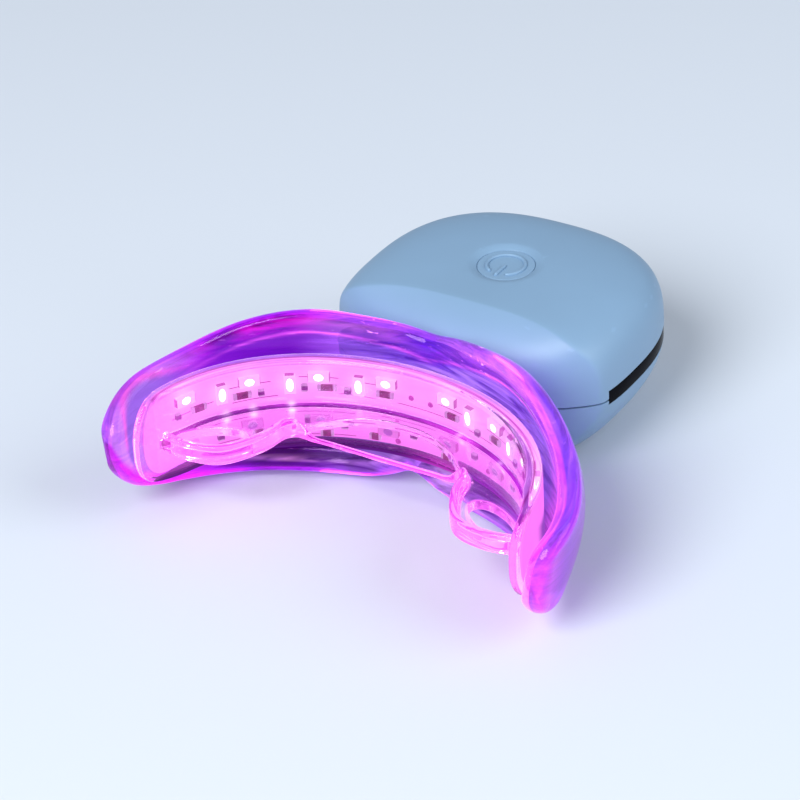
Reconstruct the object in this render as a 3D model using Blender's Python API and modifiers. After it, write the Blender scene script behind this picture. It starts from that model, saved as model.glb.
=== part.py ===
"""A light therapy oral care device: a lit bite mouthpiece on a small rounded handle.

Metres, +Z up. The origin is the middle of the handle's flat base, the mouthpiece lies towards -Y,
and the plane X = 0 is the plane of symmetry.
"""

import math

import bmesh
import bpy
import numpy as np
from mathutils import Matrix, Vector

# Handle
HANDLE_HALF_WIDTH = 0.0218
HANDLE_HALF_LENGTH = 0.0220
HANDLE_SQUARENESS = 2.54
PARTING_HEIGHT = 0.0118
PARTING_GAP = 0.0003
DOME_HEIGHT = 0.0110
DOME_SQUARENESS = 4.0
BOWL_DEPTH = 0.0151
BOWL_SQUARENESS = 1.82
COVER_WALL = 0.0016
FRONT_FACE = 0.0152
FRONT_DROP = 0.0077
FRONT_SQUARENESS = 3.2
FRONT_BLEND = 0.0005
SCOOP_TOP = 0.0082
SCOOP_SQUARENESS = 3.2
AROUND_CELLS = 56
DOME_CELLS = 11
BOWL_CELLS = 8
FILLER_SHARE = 0.97

# Mouthpiece arch and bite plane
NECK_SPAN = 0.0060
ARCH_HALF_WIDTH = 0.0292
ARCH_DEPTH = 0.0243
BITE_HEIGHT = 0.0111
FIT_GAP = 0.0003

# Outer shield: run along the arch, upper edge, lower edge, and how far out the wall lies at
# the upper edge, half way and at the lower edge
SHIELD_STATIONS = (
    (0.0000, 0.0114, -0.0083, 0.0036, 0.0026, -0.0012),
    (0.0080, 0.0127, -0.0099, 0.0025, 0.0028, -0.0011),
    (0.0160, 0.0137, -0.0102, 0.0020, 0.0031, -0.0005),
    (0.0240, 0.0126, -0.0099, 0.0023, 0.0034, 0.0003),
    (0.0320, 0.0096, -0.0093, 0.0036, 0.0039, 0.0014),
    (0.0400, 0.0072, -0.0081, 0.0047, 0.0036, 0.0023),
    (0.0480, 0.0058, -0.0072, 0.0040, 0.0030, 0.0026),
)
SHIELD_WALL = 0.0034
SHIELD_REACH = 0.0456
SHIELD_TIP = 0.0094
TIP_FULLNESS = 2.3
TIP_CROWDING_SHARE = 0.95
TIP_BLUNT_SHARE = 0.9985
TIP_WALL_SHARE = 1.5
TIP_LIFT = 0.0010
UPPER_NOTCH = 0.0020
LOWER_NOTCH = 0.0010
NOTCH_HALF = 0.0026
SHIELD_CELLS = 48
STATION_CELLS = 8
SHIELD_SECTION_SHARES = (
    (1.0, 0.0),
    (0.98, 0.48),
    (0.93, 0.80),
    (0.85, 0.97),
    (0.60, 1.0),
    (0.30, 1.0),
    (0.0, 1.0),
)

# Light board and its window
BOARD_REACH = 0.0426
BOARD_THICKNESS = 0.0004
BOARD_TOP = 0.0068
BOARD_BOTTOM = 0.0054
WINDOW_WALL = 0.0009
WINDOW_MARGIN = 0.0006
TRAY_SECTION_SHARES = (
    (1.0, 0.0),
    (1.0, 0.60),
    (0.94, 1.0),
    (0.30, 1.0),
)
BAND_CELLS = 44
BAND_RISE_CELLS = 4

# Lamps
LED_PITCH = 0.0098
LED_LENGTH = 0.0030
LED_WIDTH = 0.0016
LED_HEIGHT = 0.0007
LED_EDGE = 0.00015
SOLDER_GAP = 0.0001
UPPER_ROW = 0.0045
SIDE_ROW = 0.0034
LOWER_ROW = 0.0032

# Bite plate, its wings, rim and openings
PLATE_THICKNESS = 0.0014
WING_INNER = 0.0138
WING_OUTER = 0.0270
WING_END = 0.0223
BRIDGE_LINE = 0.0110
BRIDGE_WIDTH = 0.0012
RIM_WIDTH = 0.0011
PLATE_RAISE = 0.0005
RIM_ABOVE = 0.0027
RIM_BELOW = 0.0004
BRIDGE_ABOVE = 0.0012
LENS_FRONT = 0.0056
LENS_HALF = 0.0122
WING_HOLE_LENGTH = 0.0092
WING_HOLE_WIDTH = 0.0056
WING_HOLE_X = 0.0215
WING_HOLE_Y = 0.0177
WING_HOLE_TURN = 39.0
WING_SHARES = {
    "heel": (0.0, 0.05),
    "end": (0.30, 0.0),
    "toe": (0.66, 0.10),
    "waist": (0.10, 0.50),
    "throat": (0.0, 0.10),
}
BRIDGE_SHARE = 0.72
PLATE_REACH_SHARE = 0.96
PATH_CELLS = 4
LENS_POINTS = 17
HOLE_POINTS = 16

# Neck between mouthpiece and handle
NECK_HALF_WIDTH = 0.0070
NECK_HALF_HEIGHT = 0.0034
NECK_WALL = 0.0014
NECK_HEIGHT = 0.0118
COLLAR_RIM = 0.0012
COLLAR_THICKNESS = 0.0012
SEAL_THICKNESS = 0.0008
SEAL_CLEARANCE = 0.0009
BOSS_RIM = 0.0013
TAIL_WIDTH = 0.0050
TAIL_THICKNESS = 0.00025
TAIL_WAVE = 0.0006
SLOT_MARGIN = 0.0004

# Trim and gasket
TRIM_ABOVE = 0.00135
TRIM_BELOW = 0.00075
TRIM_DEPTH = 0.0008
TRIM_FRONT = 0.0070
TRIM_END_TURN = 0.014
GASKET_HEIGHT = 0.0026
GASKET_THICKNESS = 0.0008
GASKET_INSET = 0.0024

# Power button and the switch under it
BUTTON_Y = 0.0028
BUTTON_RADIUS = 0.0040
BUTTON_CLEARANCE = 0.0002
BUTTON_THICKNESS = 0.0014
BUTTON_DISH = 0.00045
BUTTON_LIP = 0.0008
BUTTON_LIP_THICKNESS = 0.0006
STEM_RADIUS = 0.0012
SYMBOL_RADIUS = 0.0027
SYMBOL_LINE = 0.00022
SYMBOL_TICK = 0.0026
SYMBOL_GAP_TURN = 62.0
DISH_RADIUS = 0.0050
BUTTON_SEGMENTS = 32
SYMBOL_POINTS = 28
SWITCH_TRAVEL = 0.0003
SWITCH_SIDE = 0.0052
SWITCH_HEIGHT = 0.0018
PLUNGER_RADIUS = 0.0012
PLUNGER_PROUD = 0.0014
PLUNGER_DEPTH = 0.0010

# Main board and what it carries
MAIN_BOARD_LEVEL = 0.0099
MAIN_BOARD_THICKNESS = 0.0010
MAIN_BOARD_SIDE_GAP = 0.0074
MAIN_BOARD_FRONT_GAP = 0.0054
MAIN_BOARD_REAR_GAP = 0.0072
MAIN_BOARD_CORNER = 0.0040
CHIP_SIDE = 0.0050
CHIP_HEIGHT = 0.0009
COIL_SIDE = 0.0040
COIL_HEIGHT = 0.0020
CONNECTOR_WIDTH = 0.0080
CONNECTOR_DEPTH = 0.0032
CONNECTOR_HEIGHT = 0.0014
SCREW_SIDE_INSET = 0.0024
SCREW_FRONT_INSET = 0.0040
SCREW_REAR_INSET = 0.0038
SCREW_HEAD_RADIUS = 0.0015
SCREW_HEAD_HEIGHT = 0.0010
SCREW_SHANK_RADIUS = 0.0007
SCREW_LENGTH = 0.0048
BOSS_RADIUS = 0.0019
CORNER_POINTS = 5

# Battery and charging socket
BATTERY_SIDE_GAP = 0.0009
BATTERY_FRONT_GAP = 0.0051
BATTERY_REAR_GAP = 0.0131
BATTERY_THICKNESS = 0.0050
BATTERY_ROUND = 0.0010
PAD_THICKNESS = 0.0010
PAD_INSET = 0.0025
LEAD_RADIUS = 0.00045
LEAD_INSET = 0.0032
LEAD_REACH = 0.0030
LEAD_SHARES = (0.45, 0.85, 0.95)
SOCKET_HALF_WIDTH = 0.0045
SOCKET_HALF_HEIGHT = 0.0016
SOCKET_DEPTH = 0.0070
SOCKET_WALL = 0.0003
TONGUE_HALF_WIDTH = 0.0033
TONGUE_THICKNESS = 0.0007
SOCKET_RECESS = 0.0010

# One overrun serves every cut
OVERRUN = 0.0020
MERGE = 0.00001

ARCH_FRONT = -(FRONT_FACE + NECK_SPAN)
MAIN_BOARD_TOP = MAIN_BOARD_LEVEL + MAIN_BOARD_THICKNESS
MAIN_BOARD_HALF_WIDTH = HANDLE_HALF_WIDTH - MAIN_BOARD_SIDE_GAP
MAIN_BOARD_FRONT = FRONT_FACE - MAIN_BOARD_FRONT_GAP
MAIN_BOARD_REAR = HANDLE_HALF_LENGTH - MAIN_BOARD_REAR_GAP
SCREW_X = MAIN_BOARD_HALF_WIDTH - SCREW_SIDE_INSET
SCREW_FRONT = MAIN_BOARD_FRONT - SCREW_FRONT_INSET
SCREW_REAR = MAIN_BOARD_REAR - SCREW_REAR_INSET
BATTERY_HALF_WIDTH = SCREW_X - BOSS_RADIUS - BATTERY_SIDE_GAP
BATTERY_FRONT = FRONT_FACE - BATTERY_FRONT_GAP
BATTERY_REAR = HANDLE_HALF_LENGTH - BATTERY_REAR_GAP
BATTERY_LENGTH = BATTERY_FRONT + BATTERY_REAR
BATTERY_Y = (BATTERY_REAR - BATTERY_FRONT) / 2
DOME_TOP = PARTING_HEIGHT + DOME_HEIGHT
QUARTER_TURN = math.pi / 2
TIP_CROWDING = math.sin(QUARTER_TURN * TIP_CROWDING_SHARE)
SHIELD_INNER = BOARD_THICKNESS + FIT_GAP
SEAT_DEPTH = SHIELD_WALL + OVERRUN
BOSS_END = ARCH_FRONT + SHIELD_INNER + SHIELD_WALL + BOSS_RIM
CLOSED = 0


# Scene, collections and materials

def clear_scene():
    for item in list(bpy.data.objects):
        bpy.data.objects.remove(item, do_unlink=True)


def collection(name):
    group = bpy.data.collections.new(name)
    bpy.context.scene.collection.children.link(group)
    return group


def material(name, colour, roughness, metallic=0.0, glow=0.0, alpha=1.0):
    made = bpy.data.materials.new(name)
    made.use_nodes = True
    shader = made.node_tree.nodes["Principled BSDF"]
    shader.inputs["Base Color"].default_value = (*colour, 1.0)
    shader.inputs["Roughness"].default_value = roughness
    shader.inputs["Metallic"].default_value = metallic
    shader.inputs["Emission Color"].default_value = (*colour, 1.0)
    shader.inputs["Emission Strength"].default_value = glow
    shader.inputs["Alpha"].default_value = alpha
    made.diffuse_color = (*colour, alpha)
    return made


clear_scene()
PARTS = collection("light_therapy_device")
CUTTERS = collection("cutters")

CLEAR = material("clear_elastomer", (0.80, 0.36, 0.92), 0.10, alpha=0.45)
TRAY = material("tray_elastomer", (0.98, 0.45, 0.93), 0.15, alpha=0.55)
BOARD_WHITE = material("light_board", (1.00, 0.42, 0.95), 0.45, glow=0.6)
LAMP = material("lamp", (1.00, 0.86, 0.98), 0.30, glow=2.0)
BODY = material("handle_body", (0.55, 0.71, 0.85), 0.42)
BLACK_GLOSS = material("black_gloss", (0.01, 0.01, 0.012), 0.08)
RUBBER = material("seal_rubber", (0.62, 0.66, 0.70), 0.70)
BOARD_GREEN = material("circuit_board", (0.02, 0.22, 0.12), 0.50)
CHIP_BLACK = material("chip_black", (0.02, 0.02, 0.025), 0.45)
FLEX_AMBER = material("flex_ribbon", (0.72, 0.38, 0.06), 0.40)
STEEL = material("bright_steel", (0.72, 0.72, 0.74), 0.25, metallic=1.0)
CELL_SILVER = material("cell_pouch", (0.60, 0.62, 0.66), 0.35, metallic=0.6)
FOAM = material("foam_pad", (0.10, 0.10, 0.11), 0.90)
LEAD_RED = material("lead_red", (0.65, 0.03, 0.03), 0.45)
LEAD_BLACK = material("lead_black", (0.02, 0.02, 0.02), 0.45)


# Objects, shapes and cuts

def add_object(name, mesh, paint=None):
    made = bpy.data.objects.new(name, mesh)
    if paint:
        PARTS.objects.link(made)
        mesh.materials.append(paint)
    else:
        CUTTERS.objects.link(made)
        made.hide_render = True
        made.display_type = "WIRE"
    return made


def from_bmesh(name, shape, paint=None):
    bmesh.ops.recalc_face_normals(shape, faces=shape.faces)
    mesh = bpy.data.meshes.new(name)
    shape.to_mesh(mesh)
    shape.free()
    return add_object(name, mesh, paint)


def smooth(item, degrees=35.0):
    item.data.shade_smooth()
    item.data.set_sharp_from_angle(angle=math.radians(degrees))
    return item


def sheet(name, across, along, place, paint=None, facing=1):
    """A grid whose points are placed by a function of two shares, 0 to 1.

    It stays open with a facing of 1 or -1, and is a closed body with CLOSED.
    """
    shape = bmesh.new()
    bmesh.ops.create_grid(shape, x_segments=across, y_segments=along, size=0.5)
    for corner in shape.verts:
        corner.co = place(corner.co.x + 0.5, corner.co.y + 0.5)
    bmesh.ops.remove_doubles(shape, verts=shape.verts, dist=MERGE)
    if facing == CLOSED:
        bmesh.ops.recalc_face_normals(shape, faces=shape.faces)
    if facing < 0:
        bmesh.ops.reverse_faces(shape, faces=shape.faces)
    mesh = bpy.data.meshes.new(name)
    shape.to_mesh(mesh)
    shape.free()
    return add_object(name, mesh, paint)


def thicken(item, thickness, offset):
    wall = item.modifiers.new("wall", "SOLIDIFY")
    wall.thickness = thickness
    wall.offset = offset
    wall.use_even_offset = True
    return item


def round_edges(item, width, segments, degrees=40.0):
    edge = item.modifiers.new("edges", "BEVEL")
    edge.width = width
    edge.segments = segments
    edge.limit_method = "ANGLE"
    edge.angle_limit = math.radians(degrees)
    return item


def combine(item, tool, operation):
    step = item.modifiers.new(operation.lower(), "BOOLEAN")
    step.operation = operation
    step.object = tool
    step.solver = "EXACT"
    return item


def box(name, size, centre, paint=None):
    shape = bmesh.new()
    bmesh.ops.create_cube(shape, size=1.0)
    bmesh.ops.scale(shape, vec=Vector(size), verts=shape.verts)
    made = from_bmesh(name, shape, paint)
    made.location = centre
    return made


def rod(name, radius, length, centre, axis="Z", paint=None, segments=24, squash=1.0):
    """A cylinder along an axis; squash scales its height across the axis, for an oval."""
    shape = bmesh.new()
    bmesh.ops.create_cone(
        shape, cap_ends=True, segments=segments, radius1=radius, radius2=radius, depth=length
    )
    bmesh.ops.scale(shape, vec=Vector((1.0, squash, 1.0)), verts=shape.verts)
    if axis == "Y":
        bmesh.ops.rotate(shape, matrix=Matrix.Rotation(QUARTER_TURN, 3, "X"), verts=shape.verts)
    made = from_bmesh(name, shape, paint)
    made.location = centre
    return made


def flat_shape(name, loops, thickness, centre_height, paint=None):
    """Closed outlines in XY, filled with the inner ones as holes, and given a thickness."""
    curve = bpy.data.curves.new(name, "CURVE")
    curve.dimensions = "2D"
    curve.fill_mode = "BOTH"
    curve.extrude = thickness / 2
    for loop in loops:
        spline = curve.splines.new("POLY")
        spline.points.add(len(loop) - 1)
        for point, (x, y) in zip(spline.points, loop):
            point.co = (x, y, 0.0, 1.0)
        spline.use_cyclic_u = True
    return mesh_from_curve(name, curve, Matrix.Translation((0.0, 0.0, centre_height)), paint)


def tube(name, path, radius, paint=None, resolution=2):
    """A round tube with filled caps through the points of a path."""
    curve = bpy.data.curves.new(name, "CURVE")
    curve.dimensions = "3D"
    curve.bevel_depth = radius
    curve.bevel_resolution = resolution
    curve.use_fill_caps = True
    spline = curve.splines.new("POLY")
    spline.points.add(len(path) - 1)
    for point, place in zip(spline.points, path):
        point.co = (*place, 1.0)
    return mesh_from_curve(name, curve, Matrix.Identity(4), paint)


def mesh_from_curve(name, curve, matrix, paint):
    source = bpy.data.objects.new(name + "_curve", curve)
    CUTTERS.objects.link(source)
    bpy.context.view_layer.update()
    depsgraph = bpy.context.evaluated_depsgraph_get()
    mesh = bpy.data.meshes.new_from_object(source.evaluated_get(depsgraph))
    bpy.data.objects.remove(source, do_unlink=True)
    shape = bmesh.new()
    shape.from_mesh(mesh)
    bmesh.ops.remove_doubles(shape, verts=shape.verts, dist=MERGE)
    bmesh.ops.recalc_face_normals(shape, faces=shape.faces)
    shape.to_mesh(mesh)
    shape.free()
    mesh.name = name
    mesh.materials.clear()
    made = add_object(name, mesh, paint)
    made.matrix_world = matrix
    return made


# The dental arch: half an ellipse measured along its run, straight past its ends

ARCH_TURNS = np.linspace(0.0, QUARTER_TURN, 361)
ARCH_SPANS = np.hypot(
    np.diff(ARCH_HALF_WIDTH * np.sin(ARCH_TURNS)), np.diff(ARCH_DEPTH * np.cos(ARCH_TURNS))
)
ARCH_RUNS = np.concatenate([[0.0], np.cumsum(ARCH_SPANS)])
QUARTER_RUN = float(ARCH_RUNS[-1])


def arch(run, offset=0.0):
    """Point of the arch at a distance from its middle, moved outwards by the offset."""
    side = -1.0 if run < 0 else 1.0
    turn = float(np.interp(abs(run), ARCH_RUNS, ARCH_TURNS))
    past = max(abs(run) - QUARTER_RUN, 0.0)
    outward = Vector((math.sin(turn) / ARCH_HALF_WIDTH, math.cos(turn) / ARCH_DEPTH)).normalized()
    x = ARCH_HALF_WIDTH * math.sin(turn) + outward.x * offset
    y = ARCH_FRONT - ARCH_DEPTH * (1 - math.cos(turn)) - past + outward.y * offset
    return Vector((side * x, y))


def arch_outward(run):
    ahead = arch(run + OVERRUN) - arch(run - OVERRUN)
    return Vector((-ahead.y, ahead.x)).normalized()


def ease(value, start, end):
    """0 before the start, 1 past the end, and a smooth step between them."""
    share = min(max((value - start) / (end - start), 0.0), 1.0)
    return share * share * (3 - 2 * share)


def bump(run, half):
    return math.exp(-((run / half) ** 2))


def tip_share(run, reach, length):
    """1 along the arm, falling to 0 at the rounded tip."""
    past = max(abs(run) - (reach - length), 0.0) / length
    return max(1 - past**TIP_FULLNESS, 0.0) ** (1 / TIP_FULLNESS)


def tip_run(share, reach):
    """Distance along the arch for a share, with the points drawn together near the tips."""
    return reach * math.sin((2 * share - 1) * QUARTER_TURN * TIP_CROWDING_SHARE) / TIP_CROWDING


# Mouthpiece

def shield_section(run):
    """Upper edge, lower edge and the three offsets of the shield at a distance from its middle."""
    first = SHIELD_STATIONS[0]
    second = SHIELD_STATIONS[1]
    mirrored = (first[0] * 2 - second[0], *second[1:])
    path = curve_through(SHIELD_STATIONS, STATION_CELLS, before=mirrored)
    columns = list(zip(*path))
    top, bottom, *offsets = [np.interp(abs(run), columns[0], column) for column in columns[1:]]
    top -= UPPER_NOTCH * bump(run, NOTCH_HALF)
    bottom += LOWER_NOTCH * bump(run, NOTCH_HALF)
    return top, bottom, offsets


def section_point(shares, along):
    """Height share and thickness share, each -1 to 1, at a step round a section's outline."""
    side = [*shares, *[(-height, width) for height, width in shares[::-1] if height > 0]]
    loop = [*side, *[(height, -width) for height, width in side[-2:0:-1]], side[0]]
    return loop[round(along * (len(loop) - 1))]


def section_steps(shares):
    whole = 2 * len(shares) - 1 if shares[-1][0] == 0 else 2 * len(shares)
    return 2 * whole - 2


def arch_body(name, cells, shares, reach, tip_length, half_wall, section, paint=None):
    """A solid with a rounded section that follows the arch from one closed tip to the other."""

    def place(across, along):
        run = tip_run(across, reach)
        tall = tip_share(run, reach, tip_length)
        thick = half_wall * tip_share(run, reach, half_wall * TIP_WALL_SHARE)
        height_share, width_share = section_point(shares, along)
        top, bottom, offset_at = section(run)
        middle = TIP_LIFT * (1 - tall) + (top + bottom) / 2 * tall
        height = middle + height_share * (top - bottom) / 2 * tall
        spot = arch(run, offset_at(height) + width_share * thick)
        return Vector((spot.x, spot.y, BITE_HEIGHT + height))

    return sheet(name, cells, section_steps(shares), place, paint, facing=CLOSED)


def shield_curve(run):
    """The shield's edges at a distance from its middle, and its offset at a height there."""
    top, bottom, offsets = shield_section(run)

    def offset_at(height):
        share = (height - bottom - SHIELD_WALL / 2) / (top - bottom - SHIELD_WALL)
        offset = offsets[0] * share * (2 * share - 1)
        offset += offsets[1] * 4 * share * (1 - share)
        return offset + offsets[2] * (2 * share - 1) * (share - 1)

    return top, bottom, offset_at


def band(name, reach, top, bottom, tip, offset, thickness, paint=None):
    """A curved band that follows the arch between two heights, with rounded ends."""

    def place(across, along):
        run = tip_run(across, reach * TIP_BLUNT_SHARE)
        share = tip_share(run, reach, tip)
        middle = (top - bottom) / 2
        height = middle + (along - 0.5) * (top + bottom) * share
        spot = arch(run, offset)
        return Vector((spot.x, spot.y, BITE_HEIGHT + height))

    made = sheet(name, BAND_CELLS, BAND_RISE_CELLS, place, paint, facing=-1)
    return thicken(made, thickness, 1.0)


def neck_oval(name, rim, start, end, paint=None):
    """An oval rod of the neck's section, grown by a rim, from one Y to another."""
    made = rod(
        name,
        NECK_HALF_WIDTH + rim,
        end - start,
        (0.0, (start + end) / 2, NECK_HEIGHT),
        axis="Y",
        paint=paint,
        segments=32,
        squash=(NECK_HALF_HEIGHT + rim) / (NECK_HALF_WIDTH + rim),
    )
    return made


def tail_slot():
    """The opening that the ribbon passes through."""
    start = ARCH_FRONT - OVERRUN / 2
    end = BOSS_END + OVERRUN
    return box(
        "tail_slot",
        (TAIL_WIDTH + 2 * SLOT_MARGIN, end - start, TAIL_WAVE * 2 + 2 * SLOT_MARGIN),
        (0.0, (start + end) / 2, NECK_HEIGHT),
    )


def build_shield():
    shield = arch_body(
        "mouth_shield",
        SHIELD_CELLS,
        SHIELD_SECTION_SHARES,
        SHIELD_REACH,
        SHIELD_TIP,
        SHIELD_WALL / 2,
        shield_curve,
        CLEAR,
    )
    margin = WINDOW_MARGIN + FIT_GAP * 2
    seat = band(
        "tray_seat",
        SHIELD_REACH + OVERRUN,
        BOARD_TOP + margin,
        BOARD_BOTTOM + margin,
        OVERRUN,
        -SEAT_DEPTH,
        SEAT_DEPTH + SHIELD_INNER,
    )
    combine(shield, seat, "DIFFERENCE")
    boss = neck_oval("shield_boss", 0.0, ARCH_FRONT + SHIELD_INNER + SHIELD_WALL / 2, BOSS_END)
    combine(shield, boss, "UNION")
    combine(shield, tail_slot(), "DIFFERENCE")
    smooth(shield)


def ellipse(centre, half_length, half_width, degrees, points):
    turn = math.radians(degrees)
    loop = []
    for step in range(points):
        angle = 2 * math.pi * step / points
        x = half_length * math.cos(angle)
        y = half_width * math.sin(angle)
        loop.append(
            (
                centre[0] + x * math.cos(turn) - y * math.sin(turn),
                centre[1] + x * math.sin(turn) + y * math.cos(turn),
            )
        )
    return loop


def curve_through(points, cells, before=None):
    """A smooth open curve through the given points."""
    ends = [before or points[0], *points, points[-1]]
    path = []
    for first, second, third, fourth in zip(ends, ends[1:], ends[2:], ends[3:]):
        for step in range(cells):
            path.append(catmull(first, second, third, fourth, step / cells))
    path.append(tuple(points[-1]))
    return path


def catmull(first, second, third, fourth, share):
    place = []
    for a, b, c, d in zip(first, second, third, fourth):
        tangent_in = (c - a) / 2
        tangent_out = (d - b) / 2
        cube = 2 * (b - c) + tangent_in + tangent_out
        square = 3 * (c - b) - 2 * tangent_in - tangent_out
        place.append(((cube * share + square) * share + tangent_in) * share + b)
    return tuple(place)


def inner_path():
    """The inner edge of the bite plate, from the right arm round both wings to the left arm."""
    width = WING_OUTER - WING_INNER
    depth = WING_END - BRIDGE_LINE
    right = [
        (WING_OUTER, -WING_END + depth * WING_SHARES["heel"][1]),
        (WING_OUTER - width * WING_SHARES["end"][0], -WING_END),
        (WING_OUTER - width * WING_SHARES["toe"][0], -WING_END + depth * WING_SHARES["toe"][1]),
        (WING_INNER + width * WING_SHARES["waist"][0], -WING_END + depth * WING_SHARES["waist"][1]),
        (WING_INNER, -BRIDGE_LINE - depth * WING_SHARES["throat"][1]),
        (WING_INNER * BRIDGE_SHARE, -BRIDGE_LINE),
    ]
    left = [(-x, y) for x, y in reversed(right)]
    path = curve_through(right + [(0.0, -BRIDGE_LINE)] + left, PATH_CELLS)
    return [(x, y + ARCH_FRONT) for x, y in path]


def build_plate():
    """The flat bite plate with its lens-shaped middle opening and a hole in each wing."""
    inner = inner_path()
    steps = BAND_CELLS
    plate_reach = BOARD_REACH * PLATE_REACH_SHARE
    plate_offset = -(LED_HEIGHT + FIT_GAP + WINDOW_WALL)
    outer = []
    for step in range(steps + 1):
        spot = arch(-plate_reach + 2 * plate_reach * step / steps, plate_offset)
        outer.append((spot.x, spot.y))
    bridge_back = ARCH_FRONT - BRIDGE_LINE + BRIDGE_WIDTH / 2
    lens_front = ARCH_FRONT - LENS_FRONT
    lens = []
    for step in range(LENS_POINTS):
        share = 2 * step / (LENS_POINTS - 1) - 1
        lens.append((LENS_HALF * share, bridge_back + (lens_front - bridge_back) * (1 - share**2)))
    holes = []
    for side in (-1, 1):
        holes.append(
            ellipse(
                (side * WING_HOLE_X, ARCH_FRONT - WING_HOLE_Y),
                WING_HOLE_LENGTH / 2,
                WING_HOLE_WIDTH / 2,
                -side * WING_HOLE_TURN,
                HOLE_POINTS,
            )
        )
    level = BITE_HEIGHT + PLATE_RAISE
    return flat_shape("bite_plate", [outer + inner, lens, *holes], PLATE_THICKNESS, level)


def build_rim():
    """The raised rim along the plate's inner edge, low where it bridges the middle."""
    path = inner_path()
    cells = len(path) - 1

    def place(across, along):
        x, y = path[round(across * cells)]
        bridging = 1 - ease(abs(x), WING_INNER * BRIDGE_SHARE, WING_INNER)
        top = RIM_ABOVE + (BRIDGE_ABOVE - RIM_ABOVE) * bridging
        return Vector((x, y, BITE_HEIGHT - RIM_BELOW + (top + RIM_BELOW) * along))

    return thicken(sheet("bite_rim", cells, 1, place), RIM_WIDTH, 0.0)


def build_tray():
    outer = BOARD_THICKNESS
    inner = -(LED_HEIGHT + FIT_GAP + WINDOW_WALL)
    margin = WINDOW_MARGIN + FIT_GAP
    top = BOARD_TOP + margin
    bottom = -(BOARD_BOTTOM + margin)
    tray = arch_body(
        "bite_tray",
        BAND_CELLS,
        TRAY_SECTION_SHARES,
        BOARD_REACH + margin,
        -bottom,
        (outer - inner) / 2,
        lambda run: (top, bottom, lambda height: (outer + inner) / 2),
        TRAY,
    )
    pocket = band(
        "tray_pocket",
        BOARD_REACH + FIT_GAP,
        BOARD_TOP + FIT_GAP,
        BOARD_BOTTOM + FIT_GAP,
        BOARD_BOTTOM + FIT_GAP,
        inner + WINDOW_WALL,
        OVERRUN,
    )
    combine(tray, pocket, "DIFFERENCE")
    combine(tray, build_plate(), "UNION")
    combine(tray, build_rim(), "UNION")
    smooth(tray)


def build_light_board():
    board = band(
        "led_board",
        BOARD_REACH,
        BOARD_TOP,
        BOARD_BOTTOM,
        BOARD_BOTTOM,
        0.0,
        BOARD_THICKNESS,
        BOARD_WHITE,
    )
    smooth(board)


def build_lamp(name, run, level, upright):
    shape = bmesh.new()
    bmesh.ops.create_cube(shape, size=1.0)
    length = LED_WIDTH if upright else LED_LENGTH
    height = LED_LENGTH if upright else LED_WIDTH
    depth = LED_HEIGHT - SOLDER_GAP
    bmesh.ops.scale(shape, vec=Vector((length, depth, height)), verts=shape.verts)
    lamp = from_bmesh(name, shape, LAMP)
    outward = arch_outward(run)
    spot = arch(run, -(SOLDER_GAP + depth / 2))
    lamp.location = (spot.x, spot.y, BITE_HEIGHT + level)
    lamp.rotation_euler = (0.0, 0.0, math.atan2(outward.y, outward.x) - QUARTER_TURN)
    round_edges(lamp, LED_EDGE, 1)


def build_lamps():
    for count, steps in enumerate((-3.5, -2.5, -1.5, -0.5, 0.5, 1.5, 2.5, 3.5), start=1):
        build_lamp(f"upper_led_{count}", steps * LED_PITCH, UPPER_ROW, upright=False)
        build_lamp(f"lower_led_{count}", steps * LED_PITCH, -LOWER_ROW, upright=False)
    for count, steps in enumerate((-2.92, -1.92, -0.92, 0.92, 1.92, 2.92), start=1):
        build_lamp(f"side_led_{count}", steps * LED_PITCH, SIDE_ROW, upright=True)


# Neck, seal and ribbon

def build_neck():
    start = BOSS_END + FIT_GAP
    inside = -(FRONT_FACE - COVER_WALL)
    seal_start = inside + SEAL_CLEARANCE
    seal_end = seal_start + SEAL_THICKNESS
    collar_start = seal_end + FIT_GAP
    collar_end = collar_start + COLLAR_THICKNESS
    neck = neck_oval("neck_tube", 0.0, start, collar_end, CLEAR)
    collar = neck_oval("neck_collar", COLLAR_RIM, collar_start, collar_end)
    combine(neck, collar, "UNION")
    bore = neck_oval("neck_bore", -NECK_WALL, start - OVERRUN, collar_end + OVERRUN)
    combine(neck, bore, "DIFFERENCE")
    smooth(neck)
    seal = neck_oval("neck_seal", COLLAR_RIM, seal_start, seal_end, RUBBER)
    seal_bore = neck_oval("neck_seal_bore", FIT_GAP, inside - OVERRUN, seal_end + OVERRUN)
    combine(seal, seal_bore, "DIFFERENCE")
    smooth(seal)


def build_tail():
    start = ARCH_FRONT + BOARD_THICKNESS + FIT_GAP
    end = -(MAIN_BOARD_FRONT - FIT_GAP - SOLDER_GAP)

    def place(across, along):
        share = across
        wave = TAIL_WAVE * math.sin(2 * math.pi * share) * math.sin(math.pi * share)
        x = (along - 0.5) * TAIL_WIDTH
        return Vector((x, start + (end - start) * share, NECK_HEIGHT + wave))

    tail = sheet("flex_tail", 16, 1, place, FLEX_AMBER)
    thicken(tail, TAIL_THICKNESS, 0.0)
    smooth(tail)


# Handle

def front_limit(x, height):
    """How far forward the handle reaches beside the middle plane, less in the scoop on top."""
    front = FRONT_FACE - FRONT_DROP * (abs(x) / HANDLE_HALF_WIDTH) ** FRONT_SQUARENESS
    share = min(max((height - PARTING_HEIGHT) / DOME_HEIGHT, 0.0), 1.0)
    return SCOOP_TOP + (front - SCOOP_TOP) * (1 - share**SCOOP_SQUARENESS)


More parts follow.
